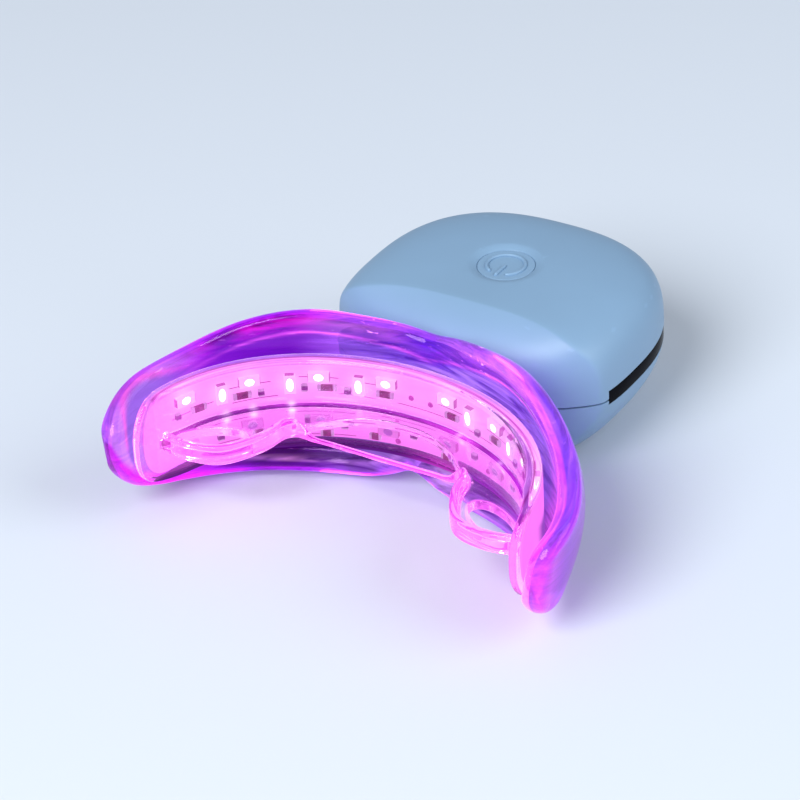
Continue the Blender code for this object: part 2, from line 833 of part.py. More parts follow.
def handle_outline(turn, size_share, inset, height):
    """Point of the handle's rounded outline at a height, drawn in by an inset."""
    power = 2 / HANDLE_SQUARENESS
    across = math.copysign(abs(math.cos(turn)) ** power, math.cos(turn))
    ahead = math.copysign(abs(math.sin(turn)) ** power, math.sin(turn))
    x = (HANDLE_HALF_WIDTH - inset) * size_share * across
    y = (HANDLE_HALF_LENGTH - inset) * size_share * ahead
    limit = -(front_limit(x, height) - inset)
    y = (y + limit + math.hypot(y - limit, FRONT_BLEND)) / 2
    return Vector((x, y, height))


def dome_body(name, inset, paint=None):
    """The dome as a closed body, drawn in by an inset on every side but its flat base."""

    def place(across, along):
        lift = QUARTER_TURN * along**2
        height = PARTING_HEIGHT + (DOME_HEIGHT - inset) * math.sin(lift) ** (2 / DOME_SQUARENESS)
        size_share = max(math.cos(lift), 0.0) ** (2 / DOME_SQUARENESS)
        return handle_outline(2 * math.pi * across, size_share, inset, height)

    made = sheet(name, AROUND_CELLS, DOME_CELLS, place, paint)
    shape = bmesh.new()
    shape.from_mesh(made.data)
    open_edges = [edge for edge in shape.edges if edge.is_boundary]
    bmesh.ops.contextual_create(shape, geom=open_edges)
    bmesh.ops.recalc_face_normals(shape, faces=shape.faces)
    shape.to_mesh(made.data)
    shape.free()
    return made


def bowl_point(across, along):
    floor_share = PARTING_HEIGHT / BOWL_DEPTH
    full_turn = math.asin(floor_share ** (BOWL_SQUARENESS / 2))
    lift = full_turn * along
    height = PARTING_HEIGHT - BOWL_DEPTH * math.sin(lift) ** (2 / BOWL_SQUARENESS)
    if along == 1:
        height = 0.0
    size_share = math.cos(lift) ** (2 / BOWL_SQUARENESS)
    return handle_outline(2 * math.pi * across, size_share, 0.0, height)


def outline_loop(inset, height, start=0.0, end=2 * math.pi, points=AROUND_CELLS):
    closed = end - start >= 2 * math.pi
    steps = points if closed else points - 1
    loop = []
    for step in range(points):
        turn = start + (end - start) * step / steps
        place = handle_outline(turn, 1.0, inset, height)
        loop.append((place.x, place.y))
    return loop


def slab(name, bottom, top):
    side = 4 * HANDLE_HALF_LENGTH
    return box(name, (side, side, top - bottom), (0.0, 0.0, (bottom + top) / 2))


def trim_turn():
    """Turn of the outline at which the trim starts, just behind the front corner."""
    share = TRIM_FRONT / HANDLE_HALF_LENGTH
    return math.asin(share ** (HANDLE_SQUARENESS / 2))


def trim_ring(name, outer_inset, inner_inset, bottom, top, lead, paint=None):
    """A strip that follows the outline from one front corner round the rear to the other."""
    start = -trim_turn() - lead
    end = math.pi - start
    outer = outline_loop(outer_inset, PARTING_HEIGHT, start, end, AROUND_CELLS)
    inner = outline_loop(inner_inset, PARTING_HEIGHT, start, end, AROUND_CELLS)
    return flat_shape(name, [outer + inner[::-1]], top - bottom, (bottom + top) / 2, paint)


def dome_height(y):
    """Height of the dome's surface above a point of the middle plane."""
    share = abs(y) / HANDLE_HALF_LENGTH
    return PARTING_HEIGHT + DOME_HEIGHT * (1 - share**DOME_SQUARENESS) ** (1 / DOME_SQUARENESS)


def trim_groove(name):
    """The groove that both covers share for the trim."""
    return trim_ring(
        name,
        -OVERRUN,
        TRIM_DEPTH + FIT_GAP,
        PARTING_HEIGHT - TRIM_BELOW - FIT_GAP,
        PARTING_HEIGHT + TRIM_ABOVE + FIT_GAP,
        TRIM_END_TURN,
    )


def build_top_cover():
    cover = dome_body("top_cover", 0.0, BODY)
    combine(cover, slab("top_parting", 0.0, PARTING_HEIGHT + PARTING_GAP / 2), "DIFFERENCE")
    combine(cover, dome_body("top_hollow", COVER_WALL), "DIFFERENCE")
    combine(cover, trim_groove("trim_groove_top"), "DIFFERENCE")
    combine(cover, button_cut(dome_height(BUTTON_Y)), "DIFFERENCE")
    combine(cover, neck_hole("neck_hole_top"), "DIFFERENCE")
    smooth(cover)


def button_cut(surface):
    """The button's hole and the shallow cone that eases the cover down to it, as one cutter."""
    hole = BUTTON_RADIUS + BUTTON_CLEARANCE
    slope = (DISH_RADIUS - BUTTON_RADIUS) / BUTTON_DISH
    profile = (
        (hole, surface - COVER_WALL - OVERRUN / 2),
        (hole, surface - BUTTON_DISH + BUTTON_CLEARANCE / slope),
        (BUTTON_RADIUS + slope * (BUTTON_DISH + OVERRUN), surface + OVERRUN),
    )
    shape = bmesh.new()
    rings = []
    for radius, height in profile:
        ring = []
        for step in range(BUTTON_SEGMENTS):
            angle = 2 * math.pi * step / BUTTON_SEGMENTS
            spot = (radius * math.cos(angle), BUTTON_Y + radius * math.sin(angle), height)
            ring.append(shape.verts.new(spot))
        rings.append(ring)
    shape.faces.new(rings[0])
    shape.faces.new(rings[-1])
    for low, high in zip(rings, rings[1:]):
        for step in range(BUTTON_SEGMENTS):
            after = (step + 1) % BUTTON_SEGMENTS
            shape.faces.new((low[step], low[after], high[after], high[step]))
    return from_bmesh("button_cut", shape)


def neck_hole(name):
    return neck_oval(name, FIT_GAP, -(FRONT_FACE + OVERRUN), -(FRONT_FACE - COVER_WALL - OVERRUN))


def build_bottom_cover():
    cover = sheet("bottom_cover", AROUND_CELLS, BOWL_CELLS, bowl_point, BODY, facing=-1)
    close_floor(cover)
    thicken(cover, COVER_WALL, -1.0)
    rim = PARTING_HEIGHT - PARTING_GAP / 2
    for x, y in screw_places():
        boss_top = MAIN_BOARD_LEVEL - FIT_GAP
        boss_bottom = COVER_WALL / 2
        boss = rod(
            "screw_boss", BOSS_RADIUS, boss_top - boss_bottom, (x, y, (boss_top + boss_bottom) / 2)
        )
        combine(boss, bowl_filler(), "INTERSECT")
        combine(cover, boss, "UNION")
        pilot_depth = SCREW_LENGTH + FIT_GAP
        pilot = rod(
            "screw_pilot",
            SCREW_SHANK_RADIUS + FIT_GAP,
            pilot_depth + OVERRUN,
            (x, y, boss_top - pilot_depth / 2 + OVERRUN / 2),
            segments=12,
        )
        combine(cover, pilot, "DIFFERENCE")
    combine(cover, slab("bottom_parting", rim, DOME_TOP), "DIFFERENCE")
    combine(cover, trim_groove("trim_groove_bottom"), "DIFFERENCE")
    combine(cover, neck_hole("neck_hole_bottom"), "DIFFERENCE")
    combine(cover, socket_block("socket_hole", FIT_GAP, OVERRUN * 2), "DIFFERENCE")
    smooth(cover)


def bowl_filler():
    """The bowl as a solid, so that nothing added inside shows through the wall."""
    name = "bowl_filler"
    if name in bpy.data.objects:
        return bpy.data.objects[name]
    filler = sheet(name, AROUND_CELLS, BOWL_CELLS, bowl_point, facing=-1)
    close_floor(filler)
    shape = bmesh.new()
    shape.from_mesh(filler.data)
    open_edges = [edge for edge in shape.edges if edge.is_boundary]
    bmesh.ops.contextual_create(shape, geom=open_edges)
    bmesh.ops.recalc_face_normals(shape, faces=shape.faces)
    bmesh.ops.scale(
        shape, vec=Vector((FILLER_SHARE, FILLER_SHARE, 1.0)), verts=shape.verts
    )
    shape.to_mesh(filler.data)
    shape.free()
    return filler


def close_floor(item):
    shape = bmesh.new()
    shape.from_mesh(item.data)
    floor_edges = []
    for edge in shape.edges:
        if edge.is_boundary and max(corner.co.z for corner in edge.verts) < MERGE:
            floor_edges.append(edge)
    bmesh.ops.contextual_create(shape, geom=floor_edges)
    bmesh.ops.recalc_face_normals(shape, faces=shape.faces)
    shape.to_mesh(item.data)
    shape.free()


def build_trim():
    bottom = PARTING_HEIGHT - TRIM_BELOW
    top = PARTING_HEIGHT + TRIM_ABOVE
    smooth(trim_ring("side_trim", 0.0, TRIM_DEPTH, bottom, top, 0.0, BLACK_GLOSS))


def build_gasket():
    outer = outline_loop(GASKET_INSET, PARTING_HEIGHT)
    inner = outline_loop(GASKET_INSET + GASKET_THICKNESS, PARTING_HEIGHT)
    gasket = flat_shape("cover_gasket", [outer, inner], GASKET_HEIGHT, PARTING_HEIGHT, RUBBER)
    combine(gasket, neck_oval("gasket_gap", COLLAR_RIM + FIT_GAP, -FRONT_FACE, 0.0), "DIFFERENCE")
    smooth(gasket)


# Button and switch

def build_button():
    surface = dome_height(BUTTON_Y) - BUTTON_DISH
    button = rod(
        "power_button",
        BUTTON_RADIUS,
        BUTTON_THICKNESS,
        (0.0, BUTTON_Y, surface - BUTTON_THICKNESS / 2),
        paint=BODY,
        segments=BUTTON_SEGMENTS,
    )
    round_edges(button, LED_EDGE, 2)
    lip_top = surface + BUTTON_DISH - COVER_WALL - FIT_GAP - BUTTON_DISH
    lip_bottom = lip_top - BUTTON_LIP_THICKNESS
    body_top = surface - BUTTON_THICKNESS / 2
    core = rod(
        "button_core",
        BUTTON_RADIUS - BUTTON_CLEARANCE,
        body_top - lip_bottom,
        (0.0, BUTTON_Y, (body_top + lip_bottom) / 2),
        segments=BUTTON_SEGMENTS,
    )
    lip = rod(
        "button_lip",
        BUTTON_RADIUS + BUTTON_LIP,
        BUTTON_LIP_THICKNESS,
        (0.0, BUTTON_Y, (lip_top + lip_bottom) / 2),
        segments=BUTTON_SEGMENTS,
    )
    stem_bottom = plunger_top() + SOLDER_GAP
    stem = rod(
        "button_stem",
        STEM_RADIUS,
        body_top - stem_bottom,
        (0.0, BUTTON_Y, (body_top + stem_bottom) / 2),
    )
    for tool in (core, lip, stem, symbol_ring(surface), symbol_tick(surface)):
        combine(button, tool, "UNION")
    smooth(button)


def symbol_ring(surface):
    path = []
    start = math.radians(SYMBOL_GAP_TURN) / 2 - QUARTER_TURN
    swing = math.radians(360 - SYMBOL_GAP_TURN)
    for step in range(SYMBOL_POINTS + 1):
        angle = start + swing * step / SYMBOL_POINTS
        x = SYMBOL_RADIUS * math.cos(angle)
        y = SYMBOL_RADIUS * math.sin(angle)
        path.append((x, BUTTON_Y + y, surface))
    return tube("symbol_ring", path, SYMBOL_LINE, resolution=1)


def symbol_tick(surface):
    start = BUTTON_Y - SYMBOL_RADIUS - SYMBOL_LINE
    path = [(0.0, start, surface), (0.0, start + SYMBOL_TICK, surface)]
    return tube("symbol_tick", path, SYMBOL_LINE, resolution=1)


def plunger_top():
    return MAIN_BOARD_TOP + SOLDER_GAP + SWITCH_HEIGHT + PLUNGER_PROUD


def build_switch():
    base = MAIN_BOARD_TOP + SOLDER_GAP
    body = box(
        "switch_body",
        (SWITCH_SIDE, SWITCH_SIDE, SWITCH_HEIGHT),
        (0.0, BUTTON_Y, base + SWITCH_HEIGHT / 2),
        STEEL,
    )
    round_edges(body, LED_EDGE, 1)
    well_depth = PLUNGER_DEPTH + SWITCH_TRAVEL + SOLDER_GAP
    well = rod(
        "switch_well",
        PLUNGER_RADIUS + BUTTON_CLEARANCE,
        well_depth * 2,
        (0.0, BUTTON_Y, base + SWITCH_HEIGHT),
    )
    combine(body, well, "DIFFERENCE")
    plunger_length = PLUNGER_PROUD + PLUNGER_DEPTH
    plunger = rod(
        "switch_plunger",
        PLUNGER_RADIUS,
        plunger_length,
        (0.0, BUTTON_Y, plunger_top() - plunger_length / 2),
        paint=CHIP_BLACK,
    )
    round_edges(plunger, LED_EDGE, 1)


# Main board, battery and socket

def screw_places():
    places = []
    for x in (-SCREW_X, SCREW_X):
        for y in (-SCREW_FRONT, SCREW_REAR):
            places.append((x, y))
    return places


def rounded_rectangle(half_width, front, rear, radius):
    loop = []
    corners = (
        (half_width - radius, rear - radius, 0),
        (-half_width + radius, rear - radius, 1),
        (-half_width + radius, front + radius, 2),
        (half_width - radius, front + radius, 3),
    )
    for x, y, quarter in corners:
        for step in range(CORNER_POINTS + 1):
            angle = QUARTER_TURN * (quarter + step / CORNER_POINTS)
            loop.append((x + radius * math.cos(angle), y + radius * math.sin(angle)))
    return loop


def build_main_board():
    outline = rounded_rectangle(
        MAIN_BOARD_HALF_WIDTH, -MAIN_BOARD_FRONT, MAIN_BOARD_REAR, MAIN_BOARD_CORNER
    )
    holes = []
    for place in screw_places():
        radius = SCREW_SHANK_RADIUS + FIT_GAP
        holes.append(ellipse(place, radius, radius, 0.0, 12))
    middle = MAIN_BOARD_LEVEL + MAIN_BOARD_THICKNESS / 2
    flat_shape("main_board", [outline, *holes], MAIN_BOARD_THICKNESS, middle, BOARD_GREEN)


def on_board(name, size, x, y, paint):
    base = MAIN_BOARD_TOP + SOLDER_GAP
    piece = box(name, size, (x, y, base + size[2] / 2), paint)
    return round_edges(piece, LED_EDGE, 1)


def build_board_parts():
    beside = SWITCH_SIDE / 2 + CHIP_SIDE
    on_board(
        "controller_chip", (CHIP_SIDE, CHIP_SIDE, CHIP_HEIGHT), -beside, BUTTON_Y, CHIP_BLACK
    )
    on_board("driver_coil", (COIL_SIDE, COIL_SIDE, COIL_HEIGHT), beside, BUTTON_Y, CHIP_BLACK)
    connector_y = -MAIN_BOARD_FRONT + CONNECTOR_DEPTH / 2 + SCREW_HEAD_RADIUS
    on_board(
        "tail_connector",
        (CONNECTOR_WIDTH, CONNECTOR_DEPTH, CONNECTOR_HEIGHT),
        0.0,
        connector_y,
        LEAD_BLACK,
    )


def build_screws():
    for count, (x, y) in enumerate(screw_places(), start=1):
        head_base = MAIN_BOARD_TOP + SOLDER_GAP
        head = rod(
            f"board_screw_{count}",
            SCREW_HEAD_RADIUS,
            SCREW_HEAD_HEIGHT,
            (x, y, head_base + SCREW_HEAD_HEIGHT / 2),
            paint=STEEL,
            segments=16,
        )
        round_edges(head, LED_EDGE, 1)
        shank_top = head_base + SCREW_HEAD_HEIGHT / 2
        shank_bottom = MAIN_BOARD_LEVEL - FIT_GAP - SCREW_LENGTH
        shank = rod(
            f"screw_shank_{count}",
            SCREW_SHANK_RADIUS,
            shank_top - shank_bottom,
            (x, y, (shank_top + shank_bottom) / 2),
            segments=12,
        )
        combine(head, shank, "UNION")


def battery_level():
    return COVER_WALL + FIT_GAP + PAD_THICKNESS + FIT_GAP


def build_battery():
    thickness = BATTERY_THICKNESS
    cell = box(
        "battery_cell",
        (2 * BATTERY_HALF_WIDTH, BATTERY_LENGTH, thickness),
        (0.0, BATTERY_Y, battery_level() + thickness / 2),
        CELL_SILVER,
    )
    round_edges(cell, BATTERY_ROUND, 3)
    smooth(cell)
    pad = box(
        "battery_pad",
        (2 * (BATTERY_HALF_WIDTH - PAD_INSET), BATTERY_LENGTH - 2 * PAD_INSET, PAD_THICKNESS),
        (0.0, BATTERY_Y, COVER_WALL + FIT_GAP + PAD_THICKNESS / 2),
        FOAM,
    )
    round_edges(pad, LED_EDGE, 1)


def build_lead(name, side, paint):
    """A short insulated wire from the cell's rear face up to the underside of the board."""
    cell_end = BATTERY_Y + BATTERY_LENGTH / 2
    start_height = battery_level() + BATTERY_THICKNESS / 2
    end_height = MAIN_BOARD_LEVEL - SOLDER_GAP
    x = side * (BATTERY_HALF_WIDTH - LEAD_INSET)
    route = [
        (x, cell_end + SOLDER_GAP, start_height),
        (x, cell_end + LEAD_REACH * LEAD_SHARES[0], start_height),
        (x, cell_end + LEAD_REACH * LEAD_SHARES[1], (start_height + end_height) / 2),
        (x, cell_end + LEAD_REACH * LEAD_SHARES[2], end_height),
    ]
    smooth(tube(name, curve_through(route, 5), LEAD_RADIUS, paint, resolution=1))


def socket_height():
    return MAIN_BOARD_LEVEL - SOLDER_GAP - SOCKET_HALF_HEIGHT


def socket_rear():
    return HANDLE_HALF_LENGTH - COVER_WALL - FIT_GAP


def socket_loop(margin):
    """The charging socket's round-ended outline, grown by a margin."""
    half_width = SOCKET_HALF_WIDTH + margin
    half_height = SOCKET_HALF_HEIGHT + margin
    return rounded_rectangle(half_width, -half_height, half_height, half_height - MERGE)


def socket_block(name, margin, past=0.0, front=None, paint=None):
    """A block of the socket's section along Y, from the socket's front to its rear and past it."""
    start = socket_rear() - SOCKET_DEPTH if front is None else front
    end = socket_rear() + past
    block = flat_shape(name, [socket_loop(margin)], end - start, 0.0, paint)
    turned = Matrix.Rotation(QUARTER_TURN, 4, "X")
    block.matrix_world = Matrix.Translation((0.0, (start + end) / 2, socket_height())) @ turned
    return block


def build_socket():
    shell = socket_block("usb_shell", 0.0, paint=STEEL)
    hollow_front = socket_rear() - SOCKET_DEPTH + SOCKET_WALL * 2
    hollow = socket_block("usb_hollow", -SOCKET_WALL, OVERRUN, hollow_front)
    combine(shell, hollow, "DIFFERENCE")
    smooth(shell)
    tongue_length = SOCKET_DEPTH - SOCKET_WALL * 2 - FIT_GAP - SOCKET_RECESS
    tongue = box(
        "usb_tongue",
        (2 * TONGUE_HALF_WIDTH, tongue_length, TONGUE_THICKNESS),
        (0.0, hollow_front + FIT_GAP + tongue_length / 2, socket_height()),
        CHIP_BLACK,
    )
    round_edges(tongue, LED_EDGE, 1)


build_shield()
build_tray()
build_light_board()
build_lamps()
build_neck()
build_tail()
build_top_cover()
build_bottom_cover()
build_trim()
build_gasket()
build_button()
build_switch()
build_main_board()
build_board_parts()
build_screws()
build_battery()
build_lead("battery_lead_positive", 1, LEAD_RED)
build_lead("battery_lead_negative", -1, LEAD_BLACK)
build_socket()
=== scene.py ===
"""Looks of the light therapy oral care device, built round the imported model.

Metres, +Z up. The origin is the middle of the handle's flat base, and the mouthpiece lies towards -Y.
"""

import math

import bmesh
import bpy
import numpy as np
from mathutils import Matrix, Vector
from mathutils.kdtree import KDTree


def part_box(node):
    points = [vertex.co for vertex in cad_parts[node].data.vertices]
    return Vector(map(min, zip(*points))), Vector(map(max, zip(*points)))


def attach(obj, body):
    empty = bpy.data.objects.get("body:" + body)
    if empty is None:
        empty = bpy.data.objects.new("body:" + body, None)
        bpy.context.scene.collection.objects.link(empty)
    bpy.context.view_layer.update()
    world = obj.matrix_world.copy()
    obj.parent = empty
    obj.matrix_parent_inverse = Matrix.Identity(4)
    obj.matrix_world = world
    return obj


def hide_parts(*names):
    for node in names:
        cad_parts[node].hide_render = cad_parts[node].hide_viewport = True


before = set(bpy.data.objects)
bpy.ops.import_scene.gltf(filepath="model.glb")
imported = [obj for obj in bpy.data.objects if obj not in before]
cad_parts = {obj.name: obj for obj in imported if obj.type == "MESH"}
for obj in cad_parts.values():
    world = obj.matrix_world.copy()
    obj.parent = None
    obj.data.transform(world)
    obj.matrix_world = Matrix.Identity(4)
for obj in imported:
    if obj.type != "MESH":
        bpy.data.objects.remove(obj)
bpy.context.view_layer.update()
MM = 0.001
QUARTER_TURN = math.pi / 2

# Camera at the photograph's angle
CAMERA_AZIMUTH = 32.565
CAMERA_ELEVATION = 32.475
CAMERA_ROLL = -3.057
CAMERA_LENS = 170.2
CAMERA_SENSOR = 36.0
CAMERA_CLIP = 0.01
CAMERA_PLACE = (0.23098, -0.38813, 0.28988)

# Stage and light
LIGHT_AIM = (0.0, -0.012, 0.01)
BACKDROP_COLOUR = (0.80, 0.83, 0.88, 1.0)
SKY_COLOUR = (0.80, 0.88, 1.0, 1.0)
SKY_STRENGTH = 0.36
FLOOR_COLOUR = (0.72, 0.75, 0.80)
FLOOR_RADIUS = 3.0

# Sizes shared with the solids
HANDLE_HALF_WIDTH = 0.0218
HANDLE_HALF_LENGTH = 0.0220
HANDLE_SQUARENESS = 2.54
PARTING_HEIGHT = 0.0118
PARTING_GAP = 0.0003
DOME_HEIGHT = 0.0110
DOME_SQUARENESS = 4.0
BOWL_DEPTH = 0.0151
BOWL_SQUARENESS = 1.82
COVER_WALL = 0.0016
FRONT_FACE = 0.0152
FRONT_DROP = 0.0077
FRONT_SQUARENESS = 3.2
FRONT_BLEND = 0.0005
SCOOP_TOP = 0.0082
SCOOP_SQUARENESS = 3.2
NECK_SPAN = 0.0060
ARCH_HALF_WIDTH = 0.0292
ARCH_DEPTH = 0.0243
ARCH_FRONT = -(FRONT_FACE + NECK_SPAN)
BITE_HEIGHT = 0.0111
SHIELD_STATIONS = (
    (0.0000, 0.0114, -0.0083, 0.0036, 0.0026, -0.0012),
    (0.0080, 0.0127, -0.0099, 0.0025, 0.0028, -0.0011),
    (0.0160, 0.0137, -0.0102, 0.0020, 0.0031, -0.0005),
    (0.0240, 0.0126, -0.0099, 0.0023, 0.0034, 0.0003),
    (0.0320, 0.0096, -0.0093, 0.0036, 0.0039, 0.0014),
    (0.0400, 0.0072, -0.0081, 0.0047, 0.0036, 0.0023),
    (0.0480, 0.0058, -0.0072, 0.0040, 0.0030, 0.0026),
)
SHIELD_WALL = 0.0034
SHIELD_REACH = 0.0456
SHIELD_TIP = 0.0094
TIP_FULLNESS = 2.3
TIP_LIFT = 0.0010
LOWER_NOTCH = 0.0010
NOTCH_HALF = 0.0026
BOARD_REACH = 0.0426
BOARD_THICKNESS = 0.0004
BOARD_TOP = 0.0068
BOARD_BOTTOM = 0.0054
WINDOW_WALL = 0.0009
WINDOW_MARGIN = 0.0006
FIT_GAP = 0.0003
LED_PITCH = 0.0098
LED_HEIGHT = 0.0007
UPPER_ROW = 0.0045
SIDE_ROW = 0.0034
LOWER_ROW = 0.0032
PLATE_THICKNESS = 0.0014
PLATE_RAISE = 0.0005
WING_INNER = 0.0138
WING_OUTER = 0.0270
BRIDGE_LINE = 0.0110
RIM_WIDTH = 0.0011
RIM_ABOVE = 0.0027
RIM_BELOW = 0.0004
LENS_HALF = 0.0122
NECK_HALF_WIDTH = 0.0070
NECK_HALF_HEIGHT = 0.0034
NECK_WALL = 0.0014
NECK_HEIGHT = 0.0118
TRIM_ABOVE = 0.00135
TRIM_BELOW = 0.00075
TRIM_DEPTH = 0.0008
TRIM_FRONT = 0.0070
BUTTON_Y = 0.0028
BUTTON_RADIUS = 0.0040
BUTTON_CLEARANCE = 0.0002
BUTTON_DISH = 0.00045
DISH_RADIUS = 0.0050
SYMBOL_RADIUS = 0.0027
SYMBOL_TICK = 0.0026
SYMBOL_GAP_TURN = 62.0
OVERRUN = 0.0020

# Sizes of the visual model alone, fitted to the photograph
UPPER_NOTCH = 0.0004
SHIELD_FULLNESS = 2.9
TIP_TUCK = 0.0006
WING_END = 0.0231
LENS_FRONT = 0.0046
WING_HOLE_LENGTH = 0.0098
WING_HOLE_WIDTH = 0.0044
WING_HOLE_X = 0.0218
WING_HOLE_Y = 0.0188
WING_HOLE_TURN = 31.0
BUTTON_EDGE = 0.00010
BUTTON_DEPTH = 0.0014
BUTTON_CROWN = 0.00006
SYMBOL_LINE = 0.00026
SYMBOL_LIFT = 0.00004
TRIM_SINK = 0.00006
GROOVE_GAP = 0.00008
NECK_EDGE = 0.0002
LAMP_SIZE = (0.0030, 0.0016)


# Objects, meshes and nodes

def add_object(name, data):
    made = bpy.data.objects.new(name, data)
    bpy.context.scene.collection.objects.link(made)
    return made


def mesh_from(shape, name):
    mesh = bpy.data.meshes.new(name)
    shape.to_mesh(mesh)
    shape.free()
    return mesh


def feed(tree, node, values):
    """Sets a node's inputs; a value is a number, a colour or another node's output to link."""
    for key, value in dict(values).items():
        if isinstance(value, bpy.types.NodeSocket):
            tree.links.new(value, node.inputs[key])
        else:
            node.inputs[key].default_value = value


def add_node(tree, kind, values=(), **settings):
    made = tree.nodes.new(kind)
    for key, value in settings.items():
        setattr(made, key, value)
    feed(tree, made, values)
    return made


# Camera, stage and light

def place_camera():
    data = bpy.data.cameras.new("camera")
    data.lens = CAMERA_LENS
    data.sensor_width = CAMERA_SENSOR
    data.clip_start = CAMERA_CLIP
    turned = Matrix.Rotation(math.radians(CAMERA_AZIMUTH), 4, "Z")
    turned @= Matrix.Rotation(QUARTER_TURN - math.radians(CAMERA_ELEVATION), 4, "X")
    turned @= Matrix.Rotation(math.radians(CAMERA_ROLL), 4, "Z")
    camera = add_object("camera", data)
    camera.matrix_world = Matrix.Translation(CAMERA_PLACE) @ turned
    bpy.context.scene.camera = camera


def area_light(name, place, size, power, colour):
    """A soft round light aimed at the middle of the device."""
    data = bpy.data.lights.new(name, "AREA")
    data.shape = "DISK"
    data.size = size
    data.energy = power
    data.color = colour
    lamp = add_object(name, data)
    lamp.location = place
    lamp.rotation_euler = (Vector(LIGHT_AIM) - Vector(place)).to_track_quat("-Z", "Y").to_euler()


def sky():
    """Even soft light, and a paler backdrop that only the camera sees."""
    world = bpy.data.worlds.new("studio")
    bpy.context.scene.world = world
    world.use_nodes = True
    tree = world.node_tree
    tree.nodes.clear()
    seen = add_node(tree, "ShaderNodeBackground", {"Color": BACKDROP_COLOUR, "Strength": 1.0})
    soft = add_node(tree, "ShaderNodeBackground", {"Color": SKY_COLOUR, "Strength": SKY_STRENGTH})
    path = add_node(tree, "ShaderNodeLightPath")
    parts = {"Fac": path.outputs["Is Camera Ray"], 1: soft.outputs[0], 2: seen.outputs[0]}
    mix = add_node(tree, "ShaderNodeMixShader", parts)
    add_node(tree, "ShaderNodeOutputWorld", {"Surface": mix.outputs[0]})


def build_floor():
    shape = bmesh.new()
    bmesh.ops.create_circle(shape, cap_ends=True, segments=64, radius=FLOOR_RADIUS)
    floor = add_object("floor", mesh_from(shape, "floor"))
    floor.data.materials.append(new_material("floor_paint", FLOOR_COLOUR, 0.75)[0])


# Materials

HANDLE_BLUE = (0.235, 0.372, 0.525)
# Streaks of brighter and dimmer painted glow across the clear mouldings
GLOW_STREAK_SCALE = (0.11, 0.95, 0.5)
# Painted glints: the size of their noise and their colours
GLINT_SCALE = (0.55, 1.3, 1.0)
GLINT_STOPS = ((0.65, (0.0, 0.0, 0.0)), (0.70, (0.85, 0.20, 0.70)), (0.76, (1.0, 0.80, 0.94)))
CLEAR_MOULDING = {
    "Transmission Weight": 1.0,
    "IOR": 1.41,
    "Specular IOR Level": 0.45,
    "Specular Tint": (0.92, 0.50, 1.0, 1.0),
    "Emission Strength": 1.0,
}


def new_material(name, colour, roughness, metallic=0.0):
    made = bpy.data.materials.new(name)
    made.use_nodes = True
    tree = made.node_tree
    shader = tree.nodes["Principled BSDF"]
    feed(tree, shader, {"Base Color": (*colour, 1.0), "Roughness": roughness, "Metallic": metallic})
    made.diffuse_color = (*colour, 1.0)
    return made, tree, shader


def noise(tree, scale, detail=2.0, place=None, distortion=0.0):
    place = place or add_node(tree, "ShaderNodeTexCoord").outputs["Object"]
    values = {"Vector": place, "Scale": scale, "Detail": detail, "Roughness": 0.55}
    values["Distortion"] = distortion
    return add_node(tree, "ShaderNodeTexNoise", values).outputs["Fac"]


def ramp(tree, value, stops):
    made = add_node(tree, "ShaderNodeValToRGB", {"Fac": value})
    band = made.color_ramp
    while len(band.elements) < len(stops):
        band.elements.new(0.5)
    for element, (place, colour) in zip(band.elements, stops):
        element.position = place
        element.color = (*colour, 1.0)
    return made.outputs["Color"]


def spread(tree, value, low, high, from_low=0.0, from_high=1.0):
    values = {"Value": value, "From Min": from_low, "From Max": from_high, "To Min": low, "To Max": high}
    return add_node(tree, "ShaderNodeMapRange", values).outputs["Result"]


def bump(tree, shader, height, strength, distance):
    values = {"Height": height, "Strength": strength, "Distance": distance}
    feed(tree, shader, {"Normal": add_node(tree, "ShaderNodeBump", values).outputs["Normal"]})


def stored(tree, name):
    """The outputs of a node that reads what store() wrote on the mesh."""
    return add_node(tree, "ShaderNodeAttribute", attribute_name=name).outputs


def scaled(tree, colour, factor):
    values = {0: colour, "Scale": factor}
    return add_node(tree, "ShaderNodeVectorMath", values, operation="SCALE").outputs["Vector"]


def stretched(tree, place, scale):
    return add_node(tree, "ShaderNodeMapping", {"Vector": place, "Scale": scale}).outputs["Vector"]


def shade_of(colour, factor):
    return tuple(channel * factor for channel in colour)


def plain(name, colour, roughness, metallic=0.0, grain=900.0, vary=0.10, depth=0.00002, bumps=0.3):
    """A moulded or metal surface: mottled colour, uneven gloss and a fine grain."""
    made, tree, shader = new_material(name, colour, roughness, metallic)
    mottle = noise(tree, grain * 0.12, 3.0)
    tone = ramp(tree, mottle, ((0.3, shade_of(colour, 1 - vary)), (0.7, shade_of(colour, 1 + vary))))
    gloss = spread(tree, noise(tree, grain * 0.35), roughness * 0.85, min(roughness * 1.2, 1.0))
    feed(tree, shader, {"Base Color": tone, "Roughness": gloss})
    bump(tree, shader, noise(tree, grain, 2.0), bumps, depth)
    return made


def handle_skin():
    """Satin plastic: faint mottle, a painted highlight that makes sharp edges paler, and a very fine grain.
    """
    made, tree, shader = new_material("handle_skin", HANDLE_BLUE, 0.46)
    stops = ((0.30, shade_of(HANDLE_BLUE, 0.965)), (0.72, shade_of(HANDLE_BLUE, 1.03)))
    tone = ramp(tree, noise(tree, 60.0, 4.0), stops)
    # Painted highlight: the sharper an edge, the paler its colour
    edge_sharpness = add_node(tree, "ShaderNodeNewGeometry").outputs["Pointiness"]
    edge = spread(tree, edge_sharpness, 0.0, 0.35, 0.52, 0.62)
    parts = {"Factor": edge, "A": tone, "B": (*shade_of(HANDLE_BLUE, 1.18), 1.0)}
    mixed = add_node(tree, "ShaderNodeMix", parts, data_type="RGBA").outputs["Result"]
    rub = spread(tree, noise(tree, 240.0, 3.0), 0.42, 0.54)
    feed(tree, shader, {"Base Color": mixed, "Roughness": rub})
    feed(tree, shader, {"Coat Weight": 0.06, "Coat Roughness": 0.30})
    bump(tree, shader, noise(tree, 5200.0, 2.0), 0.18, 0.00002)
    return made


